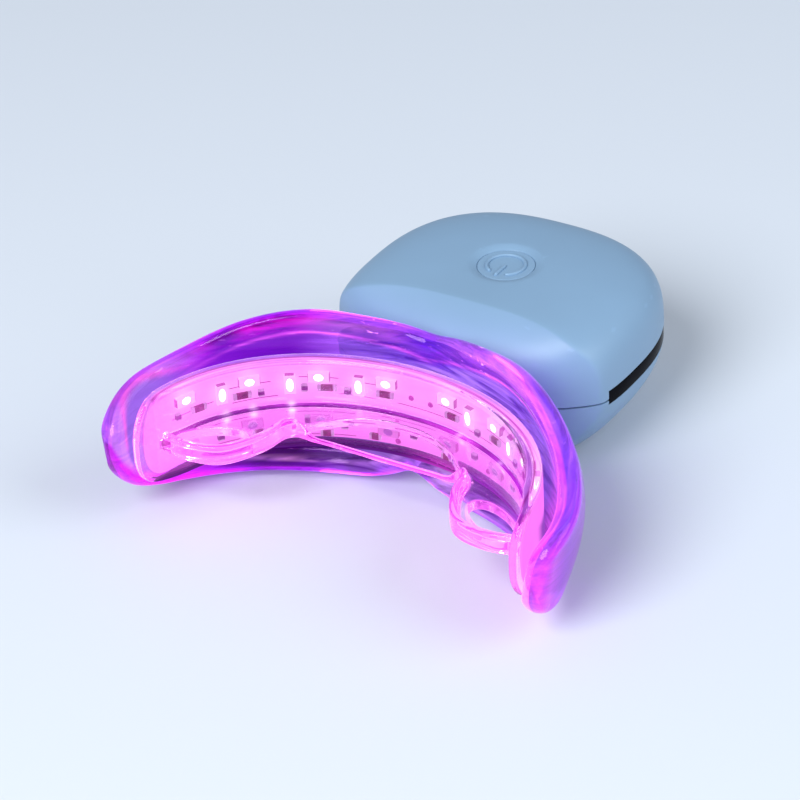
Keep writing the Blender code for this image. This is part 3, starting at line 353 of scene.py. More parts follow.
def glow_glass(name, tint, roughness):
    """Clear moulding with painted light: its glow is stored on the mesh, fine streaks of brighter and
    dimmer glow cross it, and painted glints are scattered over it.
    """
    made, tree, shader = new_material(name, tint, roughness)
    colour = stored(tree, "tint_colour")
    glow = stored(tree, "glow_colour")
    spot = stored(tree, "spot_mm")["Vector"]
    lines = noise(tree, 1.0, 4.0, stretched(tree, spot, GLOW_STREAK_SCALE), 0.8)
    swing = spread(tree, lines, -1.0, 1.0, 0.34, 0.66)
    parts = {0: swing, 1: colour["Alpha"], 2: 1.0}
    level = add_node(tree, "ShaderNodeMath", parts, operation="MULTIPLY_ADD").outputs[0]
    # Painted glints, as strong as the sparkle share stored with the glow
    glint_noise = noise(tree, 1.0, 3.0, stretched(tree, spot, GLINT_SCALE), 0.4)
    white = ramp(tree, glint_noise, GLINT_STOPS)
    parts = {0: scaled(tree, glow["Color"], level), 1: scaled(tree, white, glow["Alpha"])}
    both = add_node(tree, "ShaderNodeVectorMath", parts, operation="ADD").outputs["Vector"]
    feed(tree, shader, {"Base Color": colour["Color"], "Emission Color": both, **CLEAR_MOULDING})
    bump(tree, shader, noise(tree, 420.0, 2.0), 0.10, 0.00006)
    return made


def board_paint():
    """The white board flooded with pink light, brightest round each lamp."""
    made, tree, shader = new_material("board_paint", (0.10, 0.02, 0.09), 0.5)
    cloud = spread(tree, noise(tree, 160.0, 3.0), 0.92, 1.05, 0.3, 0.7)
    lit = scaled(tree, stored(tree, "glow_colour")["Color"], cloud)
    feed(tree, shader, {"Emission Color": lit, "Emission Strength": 1.0})
    bump(tree, shader, noise(tree, 1500.0, 2.0), 0.15, 0.00003)
    return made


def lit_paint(name, colour, glow, strength, roughness=0.4, vary=0.12):
    """A small lit piece: even glow with a slight mottle."""
    made, tree, shader = new_material(name, colour, roughness)
    tone = ramp(tree, noise(tree, 1400.0, 2.0), ((0.3, shade_of(glow, 1 - vary)), (0.7, glow)))
    feed(tree, shader, {"Emission Color": tone, "Emission Strength": strength})
    return made


def sole_paint():
    """The window's foot: opaque dark violet as painted shade under the board, with the painted glow stored
    on the mesh.
    """
    made, tree, shader = new_material("sole", (0.05, 0.003, 0.07), 0.55)
    glow = stored(tree, "glow_colour")["Color"]
    feed(tree, shader, {"Emission Color": glow, "Emission Strength": 1.0, "Specular IOR Level": 0.1})
    return made


# Shapes

TOOLS = []
TUBE_BLUNTING = 0.7


def link(name, mesh, paint, body="housing", sharp=None):
    """A piece that rides a body, smooth except where its faces turn by more than the sharp angle."""
    mesh.name = name
    if paint:
        mesh.materials.clear()
        mesh.materials.append(paint)
    mesh.shade_smooth()
    if sharp:
        mesh.set_sharp_from_angle(angle=math.radians(sharp))
    made = add_object(name, mesh)
    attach(made, body)
    return made


def grid_mesh(rings):
    """A mesh of quads through closed rings of points, one after another."""
    shape = bmesh.new()
    rings = [[shape.verts.new(place) for place in ring] for ring in rings]
    for ring, further in zip(rings, rings[1:]):
        for step in range(len(ring)):
            back = (step + 1) % len(ring)
            shape.faces.new((ring[step], ring[back], further[back], further[step]))
    return shape


def finish_mesh(shape, name, merge=0.000004):
    bmesh.ops.remove_doubles(shape, verts=shape.verts, dist=merge)
    bmesh.ops.dissolve_degenerate(shape, edges=shape.edges, dist=merge / 4)
    bmesh.ops.recalc_face_normals(shape, faces=shape.faces)
    return mesh_from(shape, name)


def evaluated(worker, name):
    """The mesh that a work object comes to; the object itself goes."""
    bpy.context.view_layer.update()
    ready = worker.evaluated_get(bpy.context.evaluated_depsgraph_get())
    mesh = bpy.data.meshes.new_from_object(ready)
    bpy.data.objects.remove(worker, do_unlink=True)
    mesh.name = name
    return mesh


def baked(name, mesh, steps):
    """The mesh after its modifiers, each given as its kind and settings."""
    worker = add_object(name + "_work", mesh)
    for kind, settings in steps:
        step = worker.modifiers.new(kind.lower(), kind)
        for key, value in settings.items():
            setattr(step, key, value)
    result = evaluated(worker, name)
    while TOOLS:
        bpy.data.objects.remove(TOOLS.pop(), do_unlink=True)
    return result


def cut(tool_mesh):
    """A modifier for baked() that cuts a tool away; baked() removes the tool."""
    tool = add_object("tool", tool_mesh)
    tool.hide_render = True
    TOOLS.append(tool)
    return "BOOLEAN", {"operation": "DIFFERENCE", "solver": "MANIFOLD", "object": tool}


def box_mesh(low, high):
    shape = bmesh.new()
    bmesh.ops.create_cube(shape, size=1.0)
    for corner in shape.verts:
        for axis in range(3):
            corner.co[axis] = high[axis] if corner.co[axis] > 0 else low[axis]
    return finish_mesh(shape, "box")


def portions(count):
    """Shares from 0 to 1 in even steps."""
    return [step / count for step in range(count + 1)]


def squared(value, power):
    return math.copysign(abs(value) ** power, value)


def round_points(count, power=1.0):
    """Cosine and sine round a circle; a power under 1 squares it off."""
    for step in range(count):
        angle = 2 * math.pi * step / count
        yield squared(math.cos(angle), power), squared(math.sin(angle), power)


def tube_mesh(path, radius, sides):
    """A round tube with blunt ends along a path of points."""
    path = [Vector(place) for place in path]
    rings = []
    for before, place, after in zip([path[0], *path], path, [*path[1:], path[-1]]):
        along = (after - before).normalized()
        across = along.cross(Vector((0, 0, 1)))
        if across.length < 0.1:
            across = along.cross(Vector((1, 0, 0)))
        across.normalize()
        lift = across.cross(along)
        rings.append([place + across * x * radius + lift * y * radius for x, y in round_points(sides)])
    ends = []
    for ring, place, other in ((rings[0], path[0], path[1]), (rings[-1], path[-1], path[-2])):
        push = (place - other).normalized() * radius
        ends.append([place + (spot - place + push) * TUBE_BLUNTING for spot in ring])
        ends.append([place + push] * sides)
    return grid_mesh([ends[1], ends[0], *rings, ends[2], ends[3]])


# The dental arch

TURNS = np.linspace(0.0, QUARTER_TURN, 721)
SPANS = np.hypot(np.diff(ARCH_HALF_WIDTH * np.sin(TURNS)), np.diff(ARCH_DEPTH * np.cos(TURNS)))
RUNS = np.concatenate([[0.0], np.cumsum(SPANS)])
SEARCH_REACH = 0.052
SEARCH_STEPS = 1041


def arch(run, offset=0.0):
    """Point of the arch at a distance from its middle, moved outwards by the offset."""
    side = -1.0 if run < 0 else 1.0
    turn = float(np.interp(abs(run), RUNS, TURNS))
    past = max(abs(run) - float(RUNS[-1]), 0.0)
    outward = Vector((math.sin(turn) / ARCH_HALF_WIDTH, math.cos(turn) / ARCH_DEPTH)).normalized()
    x = ARCH_HALF_WIDTH * math.sin(turn) + outward.x * offset
    y = ARCH_FRONT - ARCH_DEPTH * (1 - math.cos(turn)) - past + outward.y * offset
    return Vector((side * x, y))


def arch_spot(run, offset, height):
    place = arch(run, offset)
    return Vector((place.x, place.y, BITE_HEIGHT + height))


def arch_axes(run):
    """Along the arch, outwards from it and upwards, at a distance from its middle."""
    ahead = arch(run + 0.0005) - arch(run - 0.0005)
    along = Vector((ahead.x, ahead.y, 0.0)).normalized()
    return along, Vector((-along.y, along.x, 0.0)), Vector((0.0, 0.0, 1.0))


def ease(value, start, end):
    """0 before the start, 1 past the end, smooth between them."""
    share = np.clip((value - start) / (end - start), 0.0, 1.0)
    return share * share * (3 - 2 * share)


def swell(value, middle, half):
    """1 at the middle, falling off smoothly to both sides."""
    return np.exp(-(((value - middle) / half) ** 2))


def tip_share(run, reach, length, fullness=TIP_FULLNESS):
    """How much of its full height a rounded arm keeps towards its tip."""
    past = min(max(abs(run) - (reach - length), 0.0) / length, 1.0)
    return max(1 - past**fullness, 0.0) ** (1 / fullness)


def tip_run(share, reach):
    """Places along the arms that lie closer together towards the tips."""
    return reach * math.sin((2 * share - 1) * QUARTER_TURN)


def catmull(first, second, third, fourth, share):
    place = []
    for a, b, c, d in zip(first, second, third, fourth):
        tangent_in = (c - a) / 2
        tangent_out = (d - b) / 2
        cube = 2 * (b - c) + tangent_in + tangent_out
        square = 3 * (c - b) - 2 * tangent_in - tangent_out
        place.append(((cube * share + square) * share + tangent_in) * share + b)
    return tuple(place)


def curve_through(points, cells, before=None):
    ends = [before or points[0], *points, points[-1]]
    path = []
    for first, second, third, fourth in zip(ends, ends[1:], ends[2:], ends[3:]):
        for step in range(cells):
            path.append(catmull(first, second, third, fourth, step / cells))
    path.append(tuple(points[-1]))
    return path


MIRRORED = (SHIELD_STATIONS[0][0] * 2 - SHIELD_STATIONS[1][0], *SHIELD_STATIONS[1][1:])
STATION_PATH = list(zip(*curve_through(SHIELD_STATIONS, 16, before=MIRRORED)))


def shield_section(run):
    """Upper edge, lower edge and the wall's offset as a function of height."""
    top, bottom, *offsets = [
        float(np.interp(abs(run), STATION_PATH[0], column)) for column in STATION_PATH[1:]
    ]
    offsets[0] -= TIP_TUCK * float(ease(-run, 0.036, 0.044))
    top -= UPPER_NOTCH * swell(run, 0.0, NOTCH_HALF)
    bottom += LOWER_NOTCH * swell(run, 0.0, NOTCH_HALF)

    def offset_at(height):
        share = (height - bottom - SHIELD_WALL / 2) / (top - bottom - SHIELD_WALL)
        offset = offsets[0] * share * (2 * share - 1)
        offset += offsets[1] * 4 * share * (1 - share)
        return offset + offsets[2] * (2 * share - 1) * (share - 1)

    return top, bottom, offset_at


def store(mesh, name, kind, values):
    layer = mesh.attributes.new(name, kind, "POINT")
    key = "color" if kind == "FLOAT_COLOR" else "vector"
    layer.data.foreach_set(key, np.asarray(values, np.float32).ravel())


def store_light(mesh, glow, tint, spot):
    store(mesh, "glow_colour", "FLOAT_COLOR", glow)
    store(mesh, "tint_colour", "FLOAT_COLOR", tint)
    store(mesh, "spot_mm", "FLOAT_VECTOR", spot)


def vertex_places(mesh):
    places = np.empty(len(mesh.vertices) * 3)
    mesh.vertices.foreach_get("co", places)
    return places.reshape(-1, 3)


def make_tree(places):
    tree = KDTree(len(places))
    for index, place in enumerate(places):
        tree.insert(place, index)
    tree.balance()
    return tree


def nearest_runs(places):
    """Distance along the arch and offset from it for each point."""
    steps = np.linspace(-SEARCH_REACH, SEARCH_REACH, SEARCH_STEPS)
    line = [Vector((*arch(run), 0.0)) for run in steps]
    outward = np.array([arch_axes(run)[1] for run in steps])
    tree = make_tree(line)
    nearest = np.array([tree.find((x, y, 0.0))[1] for x, y in places[:, :2]])
    away = places[:, :2] - np.array(line)[nearest, :2]
    return steps[nearest], (away * outward[nearest, :2]).sum(axis=1)


def gaps_to(line, places):
    """Distance in plan from each place to the nearest point of a line."""
    tree = make_tree([Vector((x, y, 0.0)) for x, y in line])
    return np.array([tree.find((x, y, 0.0))[2] for x, y in places[:, :2]])


def skin_with_facts(name, rows, facts, merge):
    """A closed grid as a mesh, and for each corner of it the fact of the nearest grid point."""
    shape = grid_mesh(rows)
    tree = make_tree([corner.co.copy() for corner in shape.verts])
    mesh = finish_mesh(shape, name, merge)
    return mesh, [facts[tree.find(corner.co)[1]] for corner in mesh.vertices]


# Shield

SHIELD_COLUMNS = 220
INNER_LINE = 0.0029
OUTER_ROUND = 0.0015
LOWER_ROUND = 0.0016
SEAT_TOP = BOARD_TOP + WINDOW_MARGIN + FIT_GAP * 2
SEAT_BOTTOM = -(BOARD_BOTTOM + WINDOW_MARGIN + FIT_GAP * 2)
SEAT_OFFSET = BOARD_THICKNESS + FIT_GAP
SEAT_STEP = 0.00002
SLIM_HEIGHT = 0.012


def shield_ring(run):
    """Points round the shield's section as (height, offset, 1 on the inner side or 0)."""
    top, bottom, offset_at = shield_section(run)
    tall = tip_share(run, SHIELD_REACH, SHIELD_TIP, SHIELD_FULLNESS if run > 0 else TIP_FULLNESS)
    half = SHIELD_WALL / 2 * tip_share(run, SHIELD_REACH, SHIELD_WALL * 0.75)
    middle = TIP_LIFT * (1 - tall) + (top + bottom) / 2 * tall
    reach = (top - bottom) / 2 * tall
    high = middle + reach
    low = middle - reach
    squeeze = min(1.0, reach * 2 / SLIM_HEIGHT)
    wall_low = low + LOWER_ROUND * squeeze
    wall_high = high - INNER_LINE * squeeze
    ring = []

    def put(height, width, inner):
        height = min(max(height, low), high)
        offset = offset_at(height) + width * half
        if inner and SEAT_BOTTOM < height < SEAT_TOP:
            offset = max(offset, SEAT_OFFSET)
        ring.append((height, offset, inner))

    def arc(edge, size, shares, side):
        for share in shares:
            angle = share * QUARTER_TURN
            inner = 1.0 if side < 0 else 0.0
            put(edge + size * squeeze * (1 - math.cos(angle)), side * math.sin(angle), inner)

    def straight(start, end, shares, side):
        for share in shares:
            put(start + (end - start) * share, side, 1.0 if side < 0 else 0.0)

    arc(high, -OUTER_ROUND, portions(8), 1.0)
    straight(high - OUTER_ROUND * squeeze, wall_low, portions(22)[1:-1], 1.0)
    arc(low, LOWER_ROUND, portions(8)[::-1], 1.0)
    arc(low, LOWER_ROUND, portions(8)[1:], -1.0)
    seat = [SEAT_BOTTOM - SEAT_STEP, SEAT_BOTTOM + SEAT_STEP, SEAT_TOP - SEAT_STEP, SEAT_TOP + SEAT_STEP]
    marks = [wall_low, *[min(max(height, wall_low), wall_high) for height in seat], wall_high]
    for count, start, end in zip((5, 1, 16, 1, 7), marks, marks[1:]):
        straight(start, end, portions(count)[1:], -1.0)
    arc(high, -INNER_LINE, portions(9)[-2:0:-1], -1.0)
    return ring


def mix3(first, second, share):
    return tuple(a + (b - a) * share for a, b in zip(first, second))


def painted(colour, *layers):
    """A colour under layers of (colour, share), each covering the last."""
    for layer, share in layers:
        colour = mix3(colour, layer, share)
    return colour


def add3(first, second, share):
    return tuple(a + b * share for a, b in zip(first, second))


def lit_by(colour, *lights):
    """A colour with lights of (colour, share) added to it."""
    for light, share in lights:
        colour = add3(colour, light, share)
    return colour


def panel_gap(run, height):
    """How far a spot of the wall lies outside the light board's outline."""
    middle = (BOARD_TOP - BOARD_BOTTOM) / 2
    half = (BOARD_TOP + BOARD_BOTTOM) / 2
    past = max(abs(run) - (BOARD_REACH - BOARD_BOTTOM), 0.0) / BOARD_BOTTOM * half
    return math.hypot(past, height - middle) - half


def shield_glow(run, height, inner, depth, low_depth):
    """Painted light carried by the clear moulding: strongest along its edges and at the arm tips."""
    arm = ease(abs(run), 0.022, 0.036)
    left = ease(-run, 0.029, 0.037)
    right = ease(run, 0.014, 0.024) * (1 - inner)
    backed = ease(run, -0.019, -0.009)
    gap = panel_gap(run, height)

    # Painted light along the edges, and the lines along both lips
    edge_glow = painted(
        (0.34, 0.0, 0.20),
        ((0.20, 0.04, 0.20), backed),
        ((0.20, 0.01, 0.20), arm),
        ((0.06, 0.02, 0.16), right),
    )
    if inner:
        glow = mix3((0.020, 0.0, 0.030), (0.14, 0.010, 0.18), arm)
    else:
        glow = mix3((0.015, 0.0, 0.030), (0.05, 0.012, 0.08), arm)
    low_line = swell(low_depth, 0.0021, 0.00022) * inner * (1 - arm)
    glow = lit_by(
        glow,
        (edge_glow, (1 - ease(depth, 0.0010, 0.0030)) * (1 if inner else 0.75)),
        ((0.0, 0.0, 0.22), 1 - ease(depth, 0.0, 0.0007)),
        ((0.50, 0.06, 0.34), swell(depth, INNER_LINE, 0.00030) * inner * (1 - 0.6 * arm)),
        ((0.20, 0.02, 0.44), (1 - ease(low_depth, 0.0003, 0.0011)) * (1 - right)),
        ((0.34, 0.12, 0.34), low_line * (0.35 + 0.65 * swell(run, -0.020, 0.009))),
    )

    # Painted shade: a darker patch in the left lip and a darker violet at the lip notch; painted light
    # makes the wall in front of the handle paler
    dark = swell(run, -0.0272, 0.0022) * (1 - ease(depth, 0.0020, 0.0045)) * inner
    notch = swell(run, 0.0, 0.0030) * (1 - ease(depth, 0.0005, 0.0030))
    glow = lit_by(
        mix3(shade_of(glow, 1 - 0.85 * dark), (0.05, 0.0, 0.25), notch),
        ((0.11, 0.05, 0.24), backed * inner * ease(depth, 0.0026, 0.0034) * (1 - arm)),
        ((0.16, 0.09, 0.12), inner * swell(run, 0.007, 0.009) * ease(depth, 0.0032, 0.0040)),
    )

    # The right arm: a painted dark line in the groove under its lip, painted light on the wall below that,
    # brightest beyond the board
    leaf = ease(run, 0.025, 0.029) * inner * ease(depth, INNER_LINE, INNER_LINE + 0.0006)
    glow = painted(
        glow,
        ((0.30, 0.0, 0.24), 0.8 * ease(run, 0.024, 0.028) * inner * swell(depth, INNER_LINE, 0.00035)),
        ((0.55, 0.06, 0.52), 0.6 * leaf),
        ((0.90, 0.18, 0.86), 0.9 * leaf * ease(run, 0.030, 0.035) * ease(gap, -0.0003, 0.0003)),
    )

    # The left arm: bands of painted light that follow the board's outline, and its lower rim; dimmer on the
    # outer side
    bands = painted(
        (0.10, 0.06, 0.24),
        ((0.42, 0.15, 0.54), ease(gap, 0.0007, 0.0013)),
        ((0.75, 0.09, 0.34), 0.9 * swell(gap, 0.0009, 0.0004) * ease(height, -0.0010, 0.0020)),
        ((0.22, 0.0, 0.40), ease(gap, 0.0031, 0.0036)),
        ((0.46, 0.012, 0.52), 1 - ease(low_depth, 0.0014, 0.0034)),
    )
    glow = mix3(glow, shade_of(bands, 1.0 if inner else 0.35), left)
    return add3(glow, (0.30, 0.01, 0.10), (1 - left) * ease(abs(run), 0.040, 0.0456))


def shield_sparkle(run, inner, depth):
    """Share of stray glints: many beside the lip notch, some along the lip."""
    near_lip = 1 - ease(depth, 0.0024, 0.0040)
    beside = max(swell(run, -0.0065, 0.0026), swell(run, 0.0080, 0.0035), swell(run, 0.018, 0.003))
    return near_lip * (0.16 + 0.84 * beside) * (1.0 if inner else 0.5)


def shield_tint(run, height, inner, depth, low_depth):
    """Colour of the clear wall: deep violet in the middle, lavender on the arms; paler in front of the
    handle as painted light, and darker towards the lower edge as painted shade.
    """
    arm = ease(abs(run), 0.022, 0.036)
    left = ease(-run, 0.029, 0.037)
    right = ease(run, 0.014, 0.024)
    backed = ease(run, -0.019, -0.011)
    return painted(
        (0.24, 0.008, 0.66),
        # Painted light: paler where the wall stands in front of the handle, palest in its upper part
        ((0.42, 0.07, 0.90), backed),
        ((0.52, 0.17, 0.92), backed * (1 - ease(depth, 0.0024, 0.0034)) * (1 - right)),
        ((0.62, 0.20, 0.90), right * arm) if inner else ((0.15, 0.06, 0.48), right),
        ((0.35, 0.10, 0.62), left),
        ((0.22, 0.005, 0.60), ease(panel_gap(run, height), 0.0034, 0.0040) * left),
        ((0.50, 0.01, 0.68), (1 - ease(low_depth, 0.0015, 0.0040)) * ease(-run, 0.022, 0.030)),
        # Painted shade: darker towards the lower edge
        ((0.13, 0.004, 0.24), (1 - ease(low_depth, 0.0052, 0.0085)) * (1 - arm)),
    )


def build_shield():
    rows = []
    facts = []
    for share in portions(SHIELD_COLUMNS):
        run = tip_run(share, SHIELD_REACH)
        ring = shield_ring(run)
        top = ring[0][0]
        low = min(height for height, offset, inner in ring)
        rows.append([arch_spot(run, offset, height) for height, offset, inner in ring])
        for height, offset, inner in ring:
            facts.append((run, height, offset, inner, top - height, height - low))
    mesh, facts = skin_with_facts("shield_skin", rows, facts, merge=0.00002)
    glow, tint, spot = [], [], []
    for run, height, offset, inner, depth, low_depth in facts:
        colour = shield_glow(run, height, inner, depth, low_depth)
        glow.append((*colour, shield_sparkle(run, inner, depth)))
        # How strongly the streaks vary the painted glow, kept in the tint's alpha
        streaks = 0.80 - 0.55 * ease(abs(run), 0.022, 0.034)
        tint.append((*shield_tint(run, height, inner, depth, low_depth), streaks))
        spot.append((run / MM, height / MM, offset / MM))
    store_light(mesh, glow, tint, spot)
    piece = link("shield_skin", mesh, glow_glass("shield_glass", (0.45, 0.15, 0.90), 0.06))
    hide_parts("mouth_shield")


# Bite tray: window, plate and rim as one smooth moulding

# Points round a wing's free edge: share of its width from the outer side, and of its depth from its end
WING_SHARES = ((0.0, 0.05), (0.30, 0.0), (0.66, 0.10), (0.90, 0.50), (1.0, 0.90))
BRIDGE_SHARE = 0.72
PLATE_REACH_SHARE = 0.96
LENS_SHARES = (0.93, 0.80, 0.62, 0.42, 0.21)
LENS_POWER = 2.4
BRIDGE_TOP = -0.0002
BRIDGE_BOTTOM = -0.0008
BRIDGE_DEEP = 0.0008
TRAY_VOXEL = 0.00018
TIP_TAPER = 0.0012
TAPER_START = 0.0074
TAPER_END = 0.0012
FRAME_SINK = 0.0003
TIP_EXTRA = 0.0008
WINDOW_COLUMNS = 200
# Where the upright lamps are mirrored low on the window, in mm along the arch
GLINT_RUNS = (-28.5, -24.4, -18.7, 8.6, 18.3, 28.6)
# How far under the board the window's foot stops being clear
SOLE_MARGIN = 0.0001


def wing_points():
    """Points round the right wing's free edge, from its heel to the throat beside the bridge."""
    width = WING_OUTER - WING_INNER
    depth = WING_END - BRIDGE_LINE
    return [(WING_OUTER - width * across, -WING_END + depth * ahead) for across, ahead in WING_SHARES]


def mirrored_path(right, middle, cells=10):
    """A smooth path through the right side's points, a middle point and the same points mirrored."""
    left = [(-x, y) for x, y in reversed(right)]
    path = curve_through([*right, middle, *left], cells)
    return [(x, y + ARCH_FRONT) for x, y in path]


def inner_path(cells=10):
    """The wings' free edge and the bridge between them."""
    right = wing_points() + [(WING_INNER * BRIDGE_SHARE, -BRIDGE_LINE)]
    return mirrored_path(right, (0.0, -BRIDGE_LINE), cells)


def flat_solid(loops, low, high):
    """A flat outline with holes, given a thickness."""
    curve = bpy.data.curves.new("outline", "CURVE")
    curve.dimensions = "2D"
    curve.fill_mode = "BOTH"
    curve.extrude = (high - low) / 2
    for loop in loops:
        spline = curve.splines.new("POLY")
        spline.points.add(len(loop) - 1)
        for point, (x, y) in zip(spline.points, loop):
            point.co = (x, y, 0.0, 1.0)
        spline.use_cyclic_u = True
    shape = bmesh.new()
    shape.from_mesh(evaluated(add_object("outline", curve), "outline"))
    for corner in shape.verts:
        corner.co.z += (low + high) / 2
    return finish_mesh(shape, "flat")


def wing_hole(side, points):
    """A turned ellipse through the wing on one side."""
    turn = math.radians(-side * WING_HOLE_TURN)
    loop = []
    for across, ahead in round_points(points):
        x = WING_HOLE_LENGTH / 2 * across
        y = WING_HOLE_WIDTH / 2 * ahead
        spin_x = x * math.cos(turn) - y * math.sin(turn)
        spin_y = x * math.sin(turn) + y * math.cos(turn)
        loop.append((side * WING_HOLE_X + spin_x, ARCH_FRONT - WING_HOLE_Y + spin_y))
    return loop


def plate_edge():
    """The plate's free edge: round each wing, and along the front of the opening between them."""
    right = wing_points()
    depth = BRIDGE_LINE - LENS_FRONT
    for share in LENS_SHARES:
        right.append((LENS_HALF * share, -(LENS_FRONT + depth * share**LENS_POWER)))
    return mirrored_path(right, (0.0, -LENS_FRONT))


def plate_mesh():
    reach = BOARD_REACH * PLATE_REACH_SHARE
    inward = -(LED_HEIGHT + FIT_GAP + WINDOW_WALL / 2)
    outer = [tuple(arch(-reach + 2 * reach * share, inward)) for share in portions(160)]
    middle = BITE_HEIGHT + PLATE_RAISE
    half = PLATE_THICKNESS / 2
    loops = [outer + plate_edge(), wing_hole(-1, 48), wing_hole(1, 48)]
    return flat_solid(loops, middle - half, middle + half)


def rim_rows():
    """Cross sections of the raised rim along the wings, which thins to the bridge between them."""
    path = inner_path()
    rows = []
    for before, (x, y), after in zip([path[0], *path], path, [*path[1:], path[-1]]):
        along = Vector((after[0] - before[0], after[1] - before[1])).normalized()
        across = Vector((-along.y, along.x))
        bridging = 1 - ease(abs(x), WING_INNER * BRIDGE_SHARE, WING_INNER)
        top = RIM_ABOVE + (BRIDGE_TOP - RIM_ABOVE) * bridging
        bottom = -RIM_BELOW + (BRIDGE_BOTTOM + RIM_BELOW) * bridging
        half = (RIM_WIDTH + (BRIDGE_DEEP - RIM_WIDTH) * bridging) / 2
        row = []
        for wide, tall in round_points(16, 0.5):
            height = (top + bottom) / 2 + (top - bottom) / 2 * tall
            spot = Vector((x, y)) + across * wide * half
            row.append(Vector((spot.x, spot.y, BITE_HEIGHT + height)))
        rows.append(row)
    return rows


def window_bodies():
    """The window's wall and the frame round the light board behind it."""
    margin = WINDOW_MARGIN + FIT_GAP
    reach = BOARD_REACH + margin + TIP_EXTRA
    tip = BOARD_BOTTOM + margin
    middle = (BOARD_TOP - BOARD_BOTTOM) / 2
    half = (BOARD_TOP + BOARD_BOTTOM + 2 * margin) / 2

    def inner_at(run):
        inner = -(LED_HEIGHT + FIT_GAP + WINDOW_WALL)
        return inner + TIP_TAPER * ease(abs(run), BOARD_REACH - TAPER_START, BOARD_REACH - TAPER_END)

    wall = []
    upper = []
    lower = []
    for share in portions(WINDOW_COLUMNS):
        run = tip_run(share, reach)
        rise = half * tip_share(run, reach, tip)
        upper.append((run, middle + rise))
        lower.append((run, middle - rise))
        row = []
        for wide, tall in round_points(24, 0.35):
            offset = inner_at(run) + WINDOW_WALL / 2 + WINDOW_WALL / 2 * wide
            row.append(arch_spot(run, offset, middle + rise * tall))
        wall.append(row)
    ring = []
    for run, height in upper + lower[::-1]:
        if tip_share(run, reach, tip) > 0.97:
            pull = Vector((0.0, math.copysign(WINDOW_MARGIN, middle - height)))
        else:
            pull = Vector((-run / reach, (middle - height) / tip)).normalized() * WINDOW_MARGIN
        near = inner_at(run) + FRAME_SINK
        row = []
        for inward, offset in ((0, near), (0, BOARD_THICKNESS), (1, BOARD_THICKNESS), (1, near)):
            row.append(arch_spot(run + pull.x * inward, offset, height + pull.y * inward))
        ring.append(row)
    ring.append(ring[0])
    return grid_mesh(wall), grid_mesh(ring)


def blended(colour, *layers):
    """painted() for many points at once: each layer has a share for every point."""
    colour = np.asarray(colour)
    for layer, share in layers:
        colour = colour + (np.asarray(layer) - colour) * share[:, None]
    return colour


def tray_light(places):
    """Glow, tint and place along the arch for every point: clear plate and window, brighter rim."""
    runs, offsets = nearest_runs(places)
    heights = places[:, 2] - BITE_HEIGHT
    window = ease(offsets, -0.0032, -0.0020)
    arm = ease(abs(runs), 0.028, 0.040)
    rim = 1 - ease(gaps_to(inner_path(40), places), 0.0006, 0.0011)

    # The window, its foot under the board, and painted shade in the groove along its top
    foot = 1 - ease(heights, -BOARD_BOTTOM - 0.0006, -BOARD_BOTTOM + 0.0002)
    near_toe = ease(runs, -0.0040, 0.0040) * (1 - ease(runs, 0.0070, 0.0095))
    sole_glow = blended(
        (0.06, 0.003, 0.13),
        ((0.22, 0.004, 0.36), ease(runs, 0.008, 0.012)),
        ((0.45, 0.03, 0.45), near_toe),
    )
    edge = ease(heights, BOARD_TOP + 0.0001, BOARD_TOP + 0.0005)
    groove_shade = edge * swell(offsets, -0.0007, 0.00022)
    window_glow = blended(
        (0.015, 0.001, 0.015),
        ((0.14, 0.02, 0.13), arm),
        (sole_glow, foot),
        ((0.22, 0.10, 0.30), edge),
        ((0.12, 0.0, 0.08), groove_shade),
    )

    # Painted light on the lips of the wing holes, darker painted lines along the plate's upper and lower
    # faces, and painted glow at the seam where the plate meets the window
    hole_gaps = gaps_to(wing_hole(-1, 240) + wing_hole(1, 240), places)
    lip = (1 - ease(hole_gaps, 0.00025, 0.0006)) * (1 - window)
    plate_top = PLATE_RAISE + PLATE_THICKNESS / 2
    plate_line = 0.35 * swell(offsets, -0.0021, 0.0005) * (1 - 0.7 * arm)
    seam = swell(heights, plate_top, 0.0005) * swell(offsets, -0.0021, 0.0007) * (1 - arm)

    # The lamps' mirror images low on the window
    low_spots = swell(heights, 0.0006, 0.0006) + 0.7 * swell(heights, -0.0009, 0.0004)
    glint = sum(swell(runs, lamp_run * MM, 0.00055) * low_spots for lamp_run in GLINT_RUNS)
    glint = np.minimum(glint, 1.0) * swell(offsets, -0.0020, 0.0008)

    glow = blended(
        (0.02, 0.0, 0.03),
        ((0.10, 0.008, 0.10), arm),
        ((0.30, 0.025, 0.25), rim),
        (window_glow, window),
        ((0.60, 0.08, 0.62), lip),
    )
    glow += seam[:, None] * np.array((0.34, 0.02, 0.40)) + glint[:, None] * np.array((1.1, 0.85, 1.1))
    tint = blended(
        (0.97, 0.80, 0.98),
        ((0.90, 0.50, 0.95), arm),
        ((0.99, 0.50, 0.95), rim),
        ((1.0, 0.90, 0.99), window),
        # Painted shade: darker tint in the groove along the window's top
        ((0.25, 0.01, 0.22), groove_shade * window * 0.9),
        # Painted shade: darker lines at the plate's upper and lower faces, and a tinted seam
        ((0.75, 0.10, 0.70), plate_line * swell(heights, plate_top - PLATE_THICKNESS, 0.00030)),
        ((0.75, 0.10, 0.70), plate_line * swell(heights, plate_top, 0.00030)),
        ((0.52, 0.10, 0.80), 0.45 * seam),
    )
    toe = swell(places[:, 0], 0.0150, 0.0022) * swell(places[:, 1], ARCH_FRONT - 0.0125, 0.0040)
    sparkle = 0.10 + 0.9 * np.maximum(toe, 0.5 * rim * (1 - arm))
    streaks = np.full(len(places), 0.40)
    spots = np.stack([runs, heights, offsets], axis=1) / MM
    return np.column_stack([glow, sparkle]), np.column_stack([tint, streaks]), spots


def capped(rows):
    """A closed tube through the rows, with both ends filled."""
    shape = grid_mesh(rows)
    shape.verts.ensure_lookup_table()
    columns = len(rows[0])
    for start in (0, len(rows) * columns - columns):
        shape.faces.new([shape.verts[index] for index in range(start, start + columns)])
    return shape


